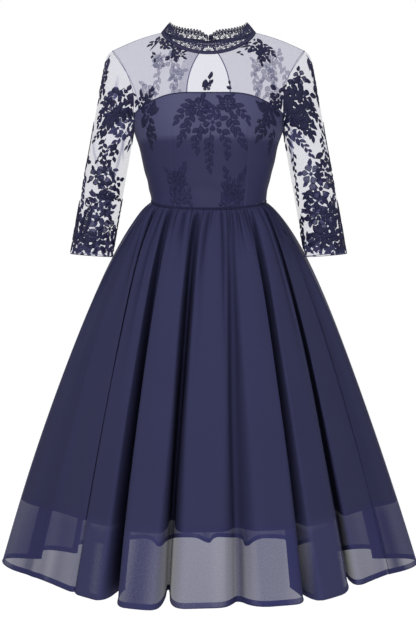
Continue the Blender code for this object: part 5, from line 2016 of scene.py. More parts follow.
@dataclass
class Bodice:
    """The opaque bodice: a front with two darts and two backs, its top edge rolled."""

    form: BodyForm
    looks: Looks
    left_dart_x: float = 0.0800
    right_dart_x: float = -0.0745
    dart_top_z: float = -0.212
    dart_depth: float = 0.0013
    dart_width: float = 0.0024
    seam_depth: float = 0.0007
    seam_width: float = 0.0020
    drag_depth: float = 0.0007
    edge_radius: float = 0.0011
    edge_points: int = 160
    dart_slope: float = 0.06        # outwards, for each metre up

    def relief(self, ring: Array) -> Array:
        """The ring pressed in at the darts and the seams, with faint drag lines.

        A dart or seam is a bell across its line. Drag lines are sines of a slanting sum of x and
        z, swollen near the waist.

        Args:
            ring: the bodice's plain ring.

        Returns:
            The ring with its relief.
        """
        normals = grid_normals(ring, around=True)
        x, z = ring[..., 0], ring[..., 2]
        front = ring[..., 1] < 0
        depth = np.zeros(x.shape)
        for dart_x in (self.left_dart_x, self.right_dart_x):
            line = dart_x + (z - self.dart_top_z) * self.dart_slope * np.sign(dart_x)
            run = 1 - ease(z, self.dart_top_z - 0.02, self.dart_top_z + 0.012)
            depth += np.where(front, self.dart_depth * bump(x, line, self.dart_width) * run, 0)
        total = ring.shape[1]
        column = np.arange(total)
        arc = np.linalg.norm(np.diff(ring[0], axis=0, append=ring[0, :1]), axis=1).mean()
        for seam, _ in self.spans(total).values():
            away = np.abs((column - seam + total / 2) % total - total / 2) * arc
            depth += self.seam_depth * bump(away, 0.0, self.seam_width)[None]
        waist = bump(z, ring[0, :, 2][None], 0.055)
        depth += self.drag_depth * waist * np.sin(150 * z + 34 * np.abs(x) + 2.0 * np.sin(19 * x))
        depth += 0.0004 * np.sin(70 * z + 55 * x) * np.sin(41 * x - 23 * z)
        return ring - normals * depth[..., None]

    def spans(self, total: int) -> dict[str, tuple[int, int]]:
        """First and last column of each panel; the ring starts at the right underarm.

        Args:
            total: how many columns the ring has.

        Returns:
            The columns by panel.
        """
        left, back = 2 * self.form.centre(), self.form.centre() + total // 2
        return {
            "bodice_front": (0, left),
            "bodice_back_left": (left, back),
            "bodice_back_right": (back, total),
        }

    @staticmethod
    def stitches(patch: Patch) -> list[Stitch]:
        """The front's own motifs, tone on tone: under the neck and over the waist, by x and z.

        Args:
            patch: the surface that they lie on.

        Returns:
            The stitches.
        """
        spray, flower, netted, cluster = Motif.SPRAY, Motif.FLOWER, Motif.NETTED, Motif.CLUSTER
        return sown(patch, (
            (netted, -19, -168, 0, 40, 0, 5, 17),
            (netted, 38, -162, 30, 36, 0, 5, 16),
            (flower, 9, -199, 10, 36, 0, 5, 17),
            (spray, -28, -164, 205, 46, 30, 7, 17),
            (spray, -36, -179, 262, 60, -24, 9, 17),
            (spray, 50, -164, 330, 40, -30, 6, 16),
            (spray, 42, -179, 282, 70, 30, 10, 17),
            (spray, 3, -219, 262, 70, 14, 10, 16),
            (spray, 23, -215, 300, 50, -30, 7, 16),
            (spray, -15, -203, 240, 50, 40, 7, 16),
            (cluster, 11, -172, 0, 22, 0, 6, 14),
            (netted, -60, -305, 0, 30, 0, 4, 15),
            (spray, -56, -364, 100, 80, -30, 12, 15),
            (spray, -72, -366, 84, 70, 30, 10, 15),
            (flower, -44, -344, 0, 26, 0, 3, 14),
            (netted, 48, -333, 0, 34, 0, 5, 15),
            (spray, 34, -366, 72, 70, 34, 10, 15),
            (spray, 62, -366, 98, 70, -30, 10, 15),
            (flower, 34, -360, 0, 26, 0, 3, 14),
        ))

    @staticmethod
    def arm_stitches(patch: Patch) -> list[Stitch]:
        """Dark motifs that come over from the sleeves at the underarms.

        Args:
            patch: the surface that they lie on.

        Returns:
            The stitches.
        """
        spray, flower, cluster = Motif.SPRAY, Motif.FLOWER, Motif.CLUSTER
        return sown(patch, (
            (cluster, -122, -176, 0, 28, 0, 9, 17),
            (flower, -116, -160, 0, 26, 0, 3, 15),
            (spray, -116, -188, 262, 34, 20, 5, 16),
            (spray, -124, -203, 276, 36, -16, 6, 14),
            (cluster, 122, -176, 0, 34, 0, 12, 18),
            (flower, 114, -164, 0, 28, 0, 4, 16),
            (spray, 118, -191, 262, 40, -20, 6, 17),
            (spray, 130, -207, 272, 40, 16, 6, 15),
            (spray, 110, -184, 236, 28, 20, 4, 15),
        ))

    def build(self, rail: Rail) -> Array:
        """Make the panels, the rolled top edge and the front's embroidery.

        Args:
            rail: takes the finished pieces.

        Returns:
            The bodice's ring.
        """
        ring = self.relief(self.form.bodice_ring())
        normals = grid_normals(ring, around=True)
        for name, (first, last) in self.spans(ring.shape[1]).items():
            grid = ring_span(ring, first, last)
            panel = sheet_piece(name + "_satin", grid, self.looks.satin)
            rail.wear(panel, "bodice_satin", name)
            line = resampled(grid[-1], self.edge_points)[None]
            outward = resampled(ring_span(normals, first, last)[-1], self.edge_points)[None]
            roll = tubes(line, outward, self.edge_radius, 6)
            edge = joined(name + "_rolled_edge", [roll], self.looks.cord)
            trims = [rail.wear(edge, "bodice_satin")]
            if name == "bodice_front":
                patch = Patch(grid)
                for part, rows, seed, finish in (
                    ("_embroidery", self.stitches(patch), 7, self.looks.tonal),
                    ("_arm_embroidery", self.arm_stitches(patch), 9, self.looks.thread),
                ):
                    work = Needlework(patch, seed, lift=0.0001, height=0.0008)
                    work.sew(rows)
                    solids = work.solids() + work.open_work()
                    trims.append(rail.wear(joined(name + part, solids, finish), "bodice_satin"))
            rail.cut(panel, grid, "stretched", ["waist_band"], trims)
        return ring


@dataclass
class Waist:
    """The corded seam between bodice and skirt."""

    form: BodyForm
    looks: Looks
    rib_height: float = 0.0005
    ribs: int = 3
    rows: int = 25
    open_columns: int = 2       # of the bodice's ring, left open on each side of the zip

    def build(self, rail: Rail, ring: Array) -> None:
        """A narrow band over the seam, its ribs the size of a sine along its height.

        Args:
            rail: takes the finished pieces.
            ring: the bodice's ring, rows from the waist up.
        """
        back = self.form.centre() + ring.shape[1] // 2
        low = ring_span(ring, back + self.open_columns, back + ring.shape[1] - self.open_columns)[0]
        share = np.linspace(0, 1, self.rows)[:, None]
        half = self.form.band_half_height
        grid = np.broadcast_to(low, (self.rows, *low.shape)).copy()
        grid[..., 2] = low[:, 2] - 2 * half * (1 - share)
        outward = unit(np.gradient(low, axis=0)[:, [1, 0, 2]] * (1.0, -1.0, 0.0))
        rise = 0.0004 + self.rib_height * np.abs(np.sin(math.pi * self.ribs * share))
        band = grid + outward[None] * rise[..., None]
        piece = sheet_piece("waist_band_cording", band, self.looks.cord)
        rail.wear(piece, "waist_cord", "waist_band")
        rail.cut(piece, band, "stretched", ["bodice_front", "skirt_front"])


@dataclass
class Yoke:
    """The sheer yoke: a front and two backs of net, bound at the keyhole, embroidered."""

    form: BodyForm
    looks: Looks
    binding: float = 0.0011
    seam: float = 0.0005
    facing: float = 0.0200      # width of the strip that laps under the right back's opening
    facing_gap: float = 0.0006

    @staticmethod
    def front_stitches(patch: Patch) -> list[Stitch]:
        """Sprays that hang from the collar, and sprigs above the bodice, placed by x and z.

        Args:
            patch: the surface that they lie on.

        Returns:
            The stitches.
        """
        spray, flower, netted, cluster = Motif.SPRAY, Motif.FLOWER, Motif.NETTED, Motif.CLUSTER
        return sown(patch, (
            (cluster, -76, -35, 0, 28, 0, 10, 14),
            (spray, -62, -41, 290, 30, 20, 5, 16),
            (flower, -56, -57, 0, 20, 0, 3, 12),
            (spray, -88, -29, 196, 36, 10, 7, 13),
            (spray, -112, -47, 262, 18, 10, 3, 10),
            (spray, -64, -61, 235, 14, 0, 2, 12),
            (cluster, 90, -35, 0, 28, 0, 10, 14),
            (spray, 106, -39, 290, 30, -20, 5, 14),
            (flower, 112, -53, 0, 24, 0, 3, 12),
            (spray, 98, -29, 340, 40, -14, 8, 13),
            (spray, 56, -55, 300, 8, 0, 1, 10),
            (spray, 112, -63, 240, 16, 30, 3, 10),
            (spray, -7, -134, 58, 26, 20, 3, 17),
            (netted, -5, -128, 0, 18, 0, 0, 10),
            (spray, 45, -132, 100, 10, 0, 1, 11),
            (spray, -154, -132, 80, 34, -20, 5, 16),
            (cluster, -138, -146, 0, 26, 0, 8, 15),
            (spray, -124, -150, 30, 22, 20, 4, 13),
            (spray, 150, -132, 96, 36, 20, 6, 17),
            (cluster, 144, -140, 0, 34, 0, 10, 17),
            (spray, 165, -108, 70, 28, 20, 4, 15),
        ))

    @staticmethod
    def back_stitches(patch: Patch, right: bool) -> list[Stitch]:
        """Pale flowers and sprays over each shoulder blade, by x and z.

        Args:
            patch: the surface that they lie on.
            right: whether it is the right back.

        Returns:
            The stitches.
        """
        spray, netted = Motif.SPRAY, Motif.NETTED
        if right:
            return sown(patch, (
                (netted, -103, -48, 0, 30, 0, 2, 14),
                (spray, -119, -60, 160, 50, -30, 6, 16),
                (netted, -77, -43, 0, 30, 0, 3, 15),
                (spray, -73, -52, 240, 50, 30, 6, 18),
                (netted, -67, -73, 0, 28, 0, 2, 14),
                (spray, -64, -90, 270, 30, -20, 4, 15),
                (spray, -100, -70, 290, 60, 20, 8, 16),
                (netted, -128, -110, 0, 32, 0, 3, 15),
            ))
        return sown(patch, (
            (netted, 141, -39, 0, 30, 0, 3, 14),
            (spray, 134, -43, 260, 50, -20, 7, 16),
            (netted, 126, -73, 0, 30, 0, 3, 15),
            (spray, 117, -86, 300, 34, -20, 5, 15),
            (spray, 158, -60, 240, 50, 20, 7, 15),
            (netted, 100, -52, 0, 28, 0, 3, 15),
            (spray, 94, -60, 285, 50, -24, 7, 16),
            (netted, 132, -112, 0, 32, 0, 3, 15),
        ))

    def build(self, rail: Rail) -> None:
        """Make the three panels, their seams and bindings, and sew the motifs on.

        Args:
            rail: takes the finished pieces.
        """
        front, back = self.form.yoke()
        panels = (
            ("yoke_front", front, None),
            ("yoke_back_left", back, -1),
            ("yoke_back_right", mirrored(back), 0),
        )
        shoulder = self.form.shoulder * self.form.fine
        for seed, (name, grid, keyhole) in enumerate(panels):
            piece = rail.wear(sheet_piece(name + "_net", grid, self.looks.net), "sheer_net", name)
            normals = grid_normals(grid)
            trims: list[Solid] = []
            if keyhole is None:
                for span in (slice(0, shoulder + 1), slice(-shoulder - 1, None)):
                    line, outward = resampled(grid[-1, span], 40), resampled(normals[-1, span], 40)
                    trims.append(tubes(line[None], outward[None], self.seam, 6, flat=0.7))
            else:
                line, outward = resampled(grid[:, keyhole], 60), resampled(normals[:, keyhole], 60)
                trims.append(tubes(line[None], outward[None], self.binding, 8))
            trim = rail.wear(joined(name + "_binding", trims, self.looks.pale_cord), "sheer_net")
            patch = Patch(grid)
            work = Needlework(patch, 20 + seed)
            work.sew(self.back_stitches(patch, keyhole == 0) if keyhole is not None
                     else self.front_stitches(patch))
            finish = self.looks.thread if keyhole is None else self.looks.shadow_work
            if keyhole == 0:
                reach = int(np.searchsorted(running_length(grid, 1).mean(axis=0), self.facing))
                strip = grid[:, :reach + 1] - normals[:, :reach + 1] * self.facing_gap
                facing = sheet_piece(name + "_facing", strip, self.looks.net)
                rail.cut(rail.wear(facing, "sheer_net"), strip, "stretched", ["yoke_back_right"])
            sewn = [joined(name + "_embroidery", work.solids(), finish)]
            if work.netted:
                petals = self.looks.open_work if keyhole is None else self.looks.shadow_work
                sewn.append(joined(name + "_petals", work.open_work(), petals))
            worn = [rail.wear(part, "sheer_net") for part in sewn]
            rail.cut(piece, grid, "stretched", ["bodice_front"], [trim, *worn])


class Crease(NamedTuple):
    """A soft crease down a sleeve: where it starts and ends, how high and how wide it is."""

    turn: float
    drop: float
    end_turn: float
    end_drop: float
    height: float
    width: float


@dataclass
class Sleeves:
    """Two three-quarter net sleeves, bound at the armhole, close embroidery down to the cuff."""

    form: BodyForm
    looks: Looks
    rows: int = 110
    columns: int = 112
    lap: float = 0.0022
    binding: float = 0.0005
    hem: float = 0.0007
    ring_points: int = 160
    half_depth: float = 0.045       # about half the sleeve's depth, which turns degrees into metres
    wave: float = 0.0006
    left_creases: tuple[Crease, ...] = (
        Crease(56, 0.24, 107, 0.46, 0.0022, 0.0040),
        Crease(130, 0.30, 150, 0.62, 0.0018, 0.0045),
        Crease(250, 0.20, 215, 0.60, 0.0020, 0.0060),
        Crease(20, 0.45, 60, 0.66, 0.0012, 0.0050),
    )
    right_creases: tuple[Crease, ...] = (
        Crease(110, 0.24, 143, 0.58, 0.0020, 0.0038),
        Crease(70, 0.10, 95, 0.40, 0.0014, 0.0050),
        Crease(235, 0.22, 250, 0.66, 0.0020, 0.0060),
        Crease(30, 0.44, 74, 0.62, 0.0013, 0.0050),
    )

    def creased(self, grid: Array, creases: Sequence[Crease]) -> tuple[Array, Array]:
        """The sleeve with its creases: a bell across each line, eased in and out along it.

        Args:
            grid: the plain sleeve.
            creases: the table.

        Returns:
            The grid, and how far the net lies doubled at each point, 0 to 1.
        """
        normals = grid_normals(grid, around=True)
        turn = np.linspace(0, 360, grid.shape[1], endpoint=False)[None]
        drop = np.linspace(0, 1, grid.shape[0])[:, None]
        rise, fold = np.zeros(grid.shape[:2]), np.zeros(grid.shape[:2])
        for crease in creases:
            share = (drop - crease.drop) / (crease.end_drop - crease.drop)
            line = crease.turn + (crease.end_turn - crease.turn) * share
            away = np.abs((turn - line + 180) % 360 - 180) * math.radians(1) * self.half_depth
            run = ease(share, -0.05, 0.25) * (1 - ease(share, 0.75, 1.05))
            rise += crease.height * np.exp(-(away / crease.width) ** 2) * run
            fold = np.maximum(fold, run * np.exp(-(away / (0.6 * crease.width)) ** 2))
        rise += self.wave * np.sin(np.radians(turn) * 3 + 9 * drop) * np.sin(math.pi * drop)
        return grid + normals * rise[..., None], fold

    @staticmethod
    def stitches(patch: Patch, other: bool) -> list[Stitch]:
        """Motifs round a sleeve: the front's by x and z, the others by turn and drop.

        The turn runs from the outer edge over the front, in degrees; the drop is a share.

        Args:
            patch: the left sleeve's surface.
            other: for the right sleeve, whose motifs are set out a little differently.

        Returns:
            The sleeve's stitches.
        """
        def row(motif: Motif, turn: float, drop: float, heading: float, size: float, bend: float,
                count: int, leaf: float) -> Stitch:
            """A stitch placed by turn and drop, its lengths in millimetres."""
            return Stitch(motif, turn / 360, drop, heading, size / 1000, bend, count, leaf / 1000)

        spray, flower, netted, cluster = Motif.SPRAY, Motif.FLOWER, Motif.NETTED, Motif.CLUSTER
        scroll, fern = Motif.SCROLL, Motif.FERN
        both = [
            # outer edge from the shoulder down
            row(spray, 350, 0.06, 88, 70, 20, 11, 16),
            # back of the upper arm
            row(cluster, 236, 0.20, 0, 50, 15, 18, 17),
            row(cluster, 200, 0.22, 0, 44, 10, 14, 17),
            row(netted, 262, 0.24, 0, 36, 0, 5, 16),
            row(spray, 286, 0.10, 84, 80, 20, 12, 16),
            row(spray, 240, 0.30, 92, 60, -30, 9, 15),
            # the back from the elbow down
            row(netted, 275, 0.62, 0, 40, 0, 5, 17),
            row(cluster, 275, 0.76, 0, 56, 20, 22, 17),
            row(netted, 300, 0.86, 0, 38, 0, 5, 16),
            # the outer edge from the elbow down
            row(spray, 4, 0.40, 92, 70, -14, 9, 16),
            row(netted, 10, 0.575, 0, 36, 0, 4, 17),
            row(spray, 352, 0.63, 88, 60, 16, 9, 17),
            row(fern, 16, 0.74, 86, 66, -16, 13, 18),
            row(flower, 350, 0.80, 20, 34, 0, 5, 16),
            row(cluster, 6, 0.92, 0, 36, 10, 9, 16),
            # the border over the cuff
            *(row((cluster, flower)[k % 2], 190 + 28 * k, 0.945 - 0.012 * (k % 2), 40 * k, 36, 6, 9, 15)
              for k in range(7)),
        ]
        left = (
            (spray, 203, -68, 92, 44, -10, 8, 16),
            (spray, 211, -104, 88, 40, -16, 7, 16),
            (netted, 182, -100, 0, 30, 0, 3, 16),
            (flower, 162, -120, 0, 34, 0, 5, 20),
            (flower, 193, -141, 0, 34, 0, 5, 20),
            (cluster, 170, -151, 0, 40, 0, 16, 20),
            (cluster, 154, -169, 0, 32, 0, 12, 20),
            (cluster, 199, -175, 0, 30, 0, 9, 18),
            (spray, 168, -181, 84, 42, 20, 7, 17),
            (spray, 193, -185, 96, 38, -20, 6, 18),
            (spray, 213, -169, 96, 40, 10, 6, 14),
            (spray, 227, -209, 84, 50, 10, 8, 12),
            (spray, 172, -249, 80, 46, 14, 6, 11),
            (spray, 213, -262, 172, 34, -10, 4, 18),
            (flower, 231, -284, 0, 30, 0, 4, 15),
            (netted, 227, -326, 0, 46, 0, 4, 18),
            (netted, 247, -310, 0, 30, 0, 3, 15),
            (spray, 205, -322, 74, 56, 26, 8, 16),
            (spray, 178, -306, 84, 44, 10, 7, 11),
            (spray, 245, -338, 92, 50, 8, 8, 16),
            (netted, 221, -380, 0, 34, 0, 4, 17),
            (cluster, 247, -380, 0, 30, 0, 8, 17),
            (spray, 188, -374, 76, 52, 22, 9, 13),
            (flower, 243, -419, 0, 36, 0, 5, 18),
            (cluster, 221, -423, 0, 30, 0, 8, 17),
            (flower, 265, -433, 0, 30, 0, 4, 15),
        )
        right = (
            (spray, 201, -88, 98, 40, 12, 7, 16),
            (spray, 207, -112, 80, 34, 20, 5, 15),
            (netted, 203, -147, 0, 24, 0, 2, 14),
            (spray, 190, -141, 62, 32, 40, 5, 15),
            (spray, 213, -165, 92, 30, -20, 6, 12),
            (flower, 170, -137, 0, 30, 0, 4, 18),
            (cluster, 162, -157, 0, 28, 0, 9, 18),
            (spray, 174, -169, 98, 50, -12, 8, 20),
            (spray, 158, -169, 86, 34, 20, 5, 18),
            (netted, 193, -169, 0, 22, 0, 3, 14),
            (spray, 211, -197, 96, 36, 30, 6, 12),
            (spray, 205, -223, 100, 52, -30, 8, 14),
            (spray, 182, -231, 84, 40, 30, 5, 15),
            (scroll, 217, -266, 20, 22, -420, 3, 10),
            (netted, 227, -298, 0, 34, 0, 4, 15),
            (flower, 188, -312, 0, 30, 0, 4, 16),
            (netted, 205, -326, 0, 26, 0, 3, 16),
            (spray, 229, -334, 4, 56, 8, 11, 14),
            (scroll, 239, -354, 20, 26, -600, 2, 9),
            (spray, 176, -338, 96, 46, 8, 8, 14),
            (spray, 199, -350, 96, 44, 50, 6, 12),
            (fern, 237, -358, 108, 66, -6, 14, 18),
            (netted, 199, -405, 0, 36, 0, 4, 17),
            (flower, 253, -419, 0, 30, 0, 4, 15),
            (spray, 174, -374, 100, 44, -10, 7, 14),
            (cluster, 223, -429, 0, 30, 0, 8, 16),
        )
        return both + sown(patch, right if other else left, facing=-1.0)

    def build(self, rail: Rail) -> None:
        """Make both sleeves, their armhole bindings and cuff hems, and sew the motifs on.

        Args:
            rail: takes the finished pieces.
        """
        plain = self.form.sleeve(self.rows, self.columns, self.lap)
        for name, creases, other in (
            ("sleeve_left", self.left_creases, False), ("sleeve_right", self.right_creases, True),
        ):
            grid, fold = self.creased(plain, creases)
            patch = Patch(grid, around=True)
            work = Needlework(patch, 41 + other)
            work.sew(self.stitches(patch, other))
            solids, petals = work.solids(), work.open_work()
            normals = grid_normals(grid, around=True)
            rings = []
            for level, radius in ((0, self.binding), (-1, self.hem)):
                line, outward = (
                    resampled(np.concatenate([part[level], part[level, :1]]), self.ring_points)[None]
                    for part in (grid, normals)
                )
                rings.append(tubes(line, outward, radius, 6))
            if other:
                grid, fold = mirrored(grid), fold[:, ::-1]
                solids, petals, rings = (
                    [self.flipped(solid) for solid in part] for part in (solids, petals, rings))
            piece = sheet_piece(name + "_net", grid, self.looks.sleeve_net, closed=True)
            rail.wear(piece, "sheer_net", name)
            mark(piece, "fold", fold)
            trims = [
                rail.wear(joined(name + part, made, finish), "sheer_net")
                for part, made, finish in (
                    ("_binding", rings, self.looks.pale_cord),
                    ("_embroidery", solids, self.looks.thread),
                    ("_petals", petals, self.looks.open_work),
                )
            ]
            rail.cut(piece, grid, "hung", ["yoke_front"], trims, closed=True)

    @staticmethod
    def flipped(solid: Solid) -> Solid:
        """A solid for the other side of the body, its triangles turned to face outwards again."""
        return Solid(solid.vertices * (-1.0, 1.0, 1.0), solid.faces[:, ::-1], solid.uv)


@dataclass
class Collar:
    """The crochet stand collar: a pierced ground under raised threads, in three pieces."""

    form: BodyForm
    looks: Looks
    top_scale: tuple[float, float] = (0.80, 0.79)
    rise: float = 0.0270
    side_rise: float = 0.0236
    notch: float = 0.42
    notch_reach: float = 0.016
    scallop: float = 0.16       # of the height, by which the edge dips between two shells
    ribbon: float = 0.0034      # half its height
    thread: float = 0.00042
    bar_thread: float = 0.00050
    fans: tuple[int, int] = (11, 5)     # in the front, and in each back
    rows: int = 25

    def surface(self, first: float, last: float, fans: int) -> Array:
        """The collar between two turns: straight from the neck seam to a smaller ring above it.

        The edge's height is full at the middle of each shell and dips between them with the sine.

        Args:
            first: radians from the centre front.
            last: radians where it ends.
            fans: how many fans there are along it.

        Returns:
            Rows by columns by 3.
        """
        columns = fans * SHELLS * 10 + 1
        turn = np.linspace(first, last, columns * 3)
        length = running_length(self.form.neck(turn), 0)
        turn = np.interp(np.linspace(0, length[-1], columns), length, turn)
        base = self.form.neck(turn)
        height = self.rise + (self.side_rise - self.rise) * np.sin(turn) ** 2
        notch = self.notch * bump(base[:, 0], 0.0, self.notch_reach)
        height *= 1 - np.where(np.cos(turn) < 0, notch, 0.0)
        top = base * (*self.top_scale, 1.0)
        top[:, 2] += height
        shell = np.abs(np.sin(math.pi * SHELLS * fans * np.linspace(0, 1, columns)))
        edge = 1 - self.scallop * (1 - shell ** 0.7)
        share = np.linspace(0, 1, self.rows)[:, None, None] * edge[None, :, None]
        return base + (top - base) * share

    @staticmethod
    def arcs(centres: Array, base: float, radius: float, start: float, end: float, points: int,
             tall: float = 1.0) -> Array:
        """Part of a circle about each of many centres, in metres along and up the lace.

        Args:
            centres: places along the lace.
            base: their height.
            radius: of the arcs.
            start: degrees.
            end: degrees.
            points: how many in each.
            tall: height over width.

        Returns:
            Arcs by points by 2.
        """
        angle = np.radians(np.linspace(start, end, points))[None]
        along, up = centres[:, None] + radius * np.cos(angle), base + radius * tall * np.sin(angle)
        return np.stack([along, np.broadcast_to(up, along.shape)], axis=-1)

    @staticmethod
    def spokes(centres: Array, base: float, inner: float, outer: float, turns: Array) -> Array:
        """Short straight threads that stand out from each of many centres.

        Args:
            centres: places along the lace.
            base: their height.
            inner: radius where they start.
            outer: radius where they end.
            turns: degrees.

        Returns:
            Threads by 4 by 2.
        """
        angle = np.radians(turns)
        reach = np.linspace(inner, outer, 4)
        offset = np.stack([np.cos(angle), np.sin(angle)], axis=-1)[:, None] * reach[None, :, None]
        middle = np.array([0.0, base]) + np.stack([centres, 0 * centres], axis=-1)
        return (middle[:, None, None] + offset[None]).reshape(-1, 4, 2)

    def lay(self, patch: Patch, fans: int, lines: Array, radius: float, lift: float,
            flat: float = 1.0) -> Solid:
        """Threads laid along lines given in metres along and up the lace.

        Args:
            patch: the collar's surface.
            fans: how many fans there are along it.
            lines: threads by points by 2.
            radius: the thread's.
            lift: of its middle off the ground.
            flat: thickness over width.

        Returns:
            The threads.
        """
        u, v = lines[..., 0] / (fans * FAN_PITCH), lines[..., 1] / LACE_HEIGHT
        centres = patch.at(u, v, np.full(u.shape, lift))
        return tubes(centres, patch.outward(u, v), radius, 5, flat)

    def braid(self, patch: Patch, fans: int, height: float, pitch: float = 0.0030) -> list[Solid]:
        """A bar of two threads that wind round each other along the lace.

        Args:
            patch: the collar's surface.
            fans: how many fans there are along it.
            height: of the bar up the lace.
            pitch: of one turn.

        Returns:
            The two threads.
        """
        length = fans * FAN_PITCH
        along = np.linspace(0, length, int(length / pitch * 6))
        out = []
        for start in (0.0, math.pi):
            phase = along * math.tau / pitch + start
            line = np.stack([along, height + 0.0006 * np.sin(phase)], axis=-1)
            u, v = line[:, 0] / length, line[:, 1] / LACE_HEIGHT
            centres = patch.at(u, v, 0.0004 * np.cos(phase) + 0.0003)
            out.append(tubes(centres[None], patch.outward(u, v)[None], self.bar_thread, 4))
        return out

    def threads(self, patch: Patch, fans: int) -> list[Solid]:
        """Everything raised: ribbon, braids, fans, rosettes, shells and their picots.

        Args:
            patch: the collar's surface.
            fans: how many fans there are along it.

        Returns:
            The threads, ready to join.
        """
        length = fans * FAN_PITCH
        along = np.linspace(0, length, 40 * fans)
        middles = (np.arange(fans) + 0.5) * FAN_PITCH
        between = np.arange(0, fans + 1) * FAN_PITCH
        between = np.clip(between, 0.0014, length - 0.0014)
        shells = (np.arange(fans * SHELLS) + 0.5) * FAN_PITCH / SHELLS
        ribbon = np.stack([along, np.full(len(along), self.ribbon)], axis=-1)[None]
        inner, first, second, outer = FAN_RINGS
        hole, rim = ROSETTE_RING
        fan_turns, shell_turns = np.linspace(0, 180, int(FAN_SPOKES) + 1), np.linspace(22, 158, 5)
        lines = (               # each with its radius over the thread's, and its lift
            (self.arcs(middles, FAN_BASE, inner, 0, 180, 9), 1.3, 0.0003),
            (self.arcs(middles, FAN_BASE, (first + second) / 2, 0, 180, 17), 1.0, 0.0003),
            (self.arcs(middles, FAN_BASE, outer + 0.0003, 2, 178, 25), 1.6, 0.0003),
            (self.spokes(middles, FAN_BASE, inner, outer, fan_turns), 1.0, 0.0003),
            (self.arcs(between, ROSETTE_BASE, hole * 0.8, 0, 360, 9), 1.0, 0.0004),
            (self.arcs(between, ROSETTE_BASE, rim + 0.0002, 0, 360, 15), 1.2, 0.0004),
            (self.arcs(shells, SHELL_BASE, 0.0031, 5, 175, 13, tall=1.1), 1.3, 0.0003),
            (self.spokes(shells, SHELL_BASE, 0.0008, 0.0030, shell_turns), 1.0, 0.0003),
        )
        out = [self.lay(patch, fans, ribbon, self.ribbon, 0.0002, flat=0.22)]
        out += [self.lay(patch, fans, line, over * self.thread, lift) for line, over, lift in lines]
        degree = math.tau / 360
        for turn in (35, 72, 108, 145):
            places = shells + 0.0040 * math.cos(turn * degree)
            height = SHELL_BASE + 0.0042 * math.sin(turn * degree)
            picots = self.arcs(places, height, 0.0007, turn - 150, turn + 150, 7)
            out.append(self.lay(patch, fans, picots, 0.8 * self.thread, 0.0002))
        for height in (FAN_BASE - 0.0004, SHELL_BASE - 0.0008):
            out.extend(self.braid(patch, fans, height))
        return out

    def build(self, rail: Rail) -> None:
        """Make the front and the two backs.

        Args:
            rail: takes the finished pieces.
        """
        quarter = math.pi / 2
        for name, first, last, fans in (
            ("collar_front", -quarter, quarter, self.fans[0]),
            ("collar_back_left", quarter, 2 * quarter, self.fans[1]),
            ("collar_back_right", 2 * quarter, 3 * quarter, self.fans[1]),
        ):
            inset = (last - first) * 0.004
            grid = self.surface(first + inset, last - inset, fans)
            rows, columns = grid.shape[:2]
            along = np.linspace(0, fans * FAN_PITCH, columns)[None]
            up = np.linspace(0, LACE_HEIGHT, rows)[:, None]
            share = np.stack(np.broadcast_arrays(along, up), axis=-1)
            faces = grid_faces(rows, columns)
            uv = share.reshape(-1, 2)[faces]
            ground = new_piece(name + "_ground", grid.reshape(-1, 3), faces, uv, self.looks.lace)
            rail.wear(ground, "crochet_lace", name)
            raised = joined(name + "_threads", self.threads(Patch(grid), fans), self.looks.crochet)
            rail.wear(raised, "crochet_lace")
            rail.cut(ground, grid, "stretched", [name.replace("collar", "yoke")], [raised])


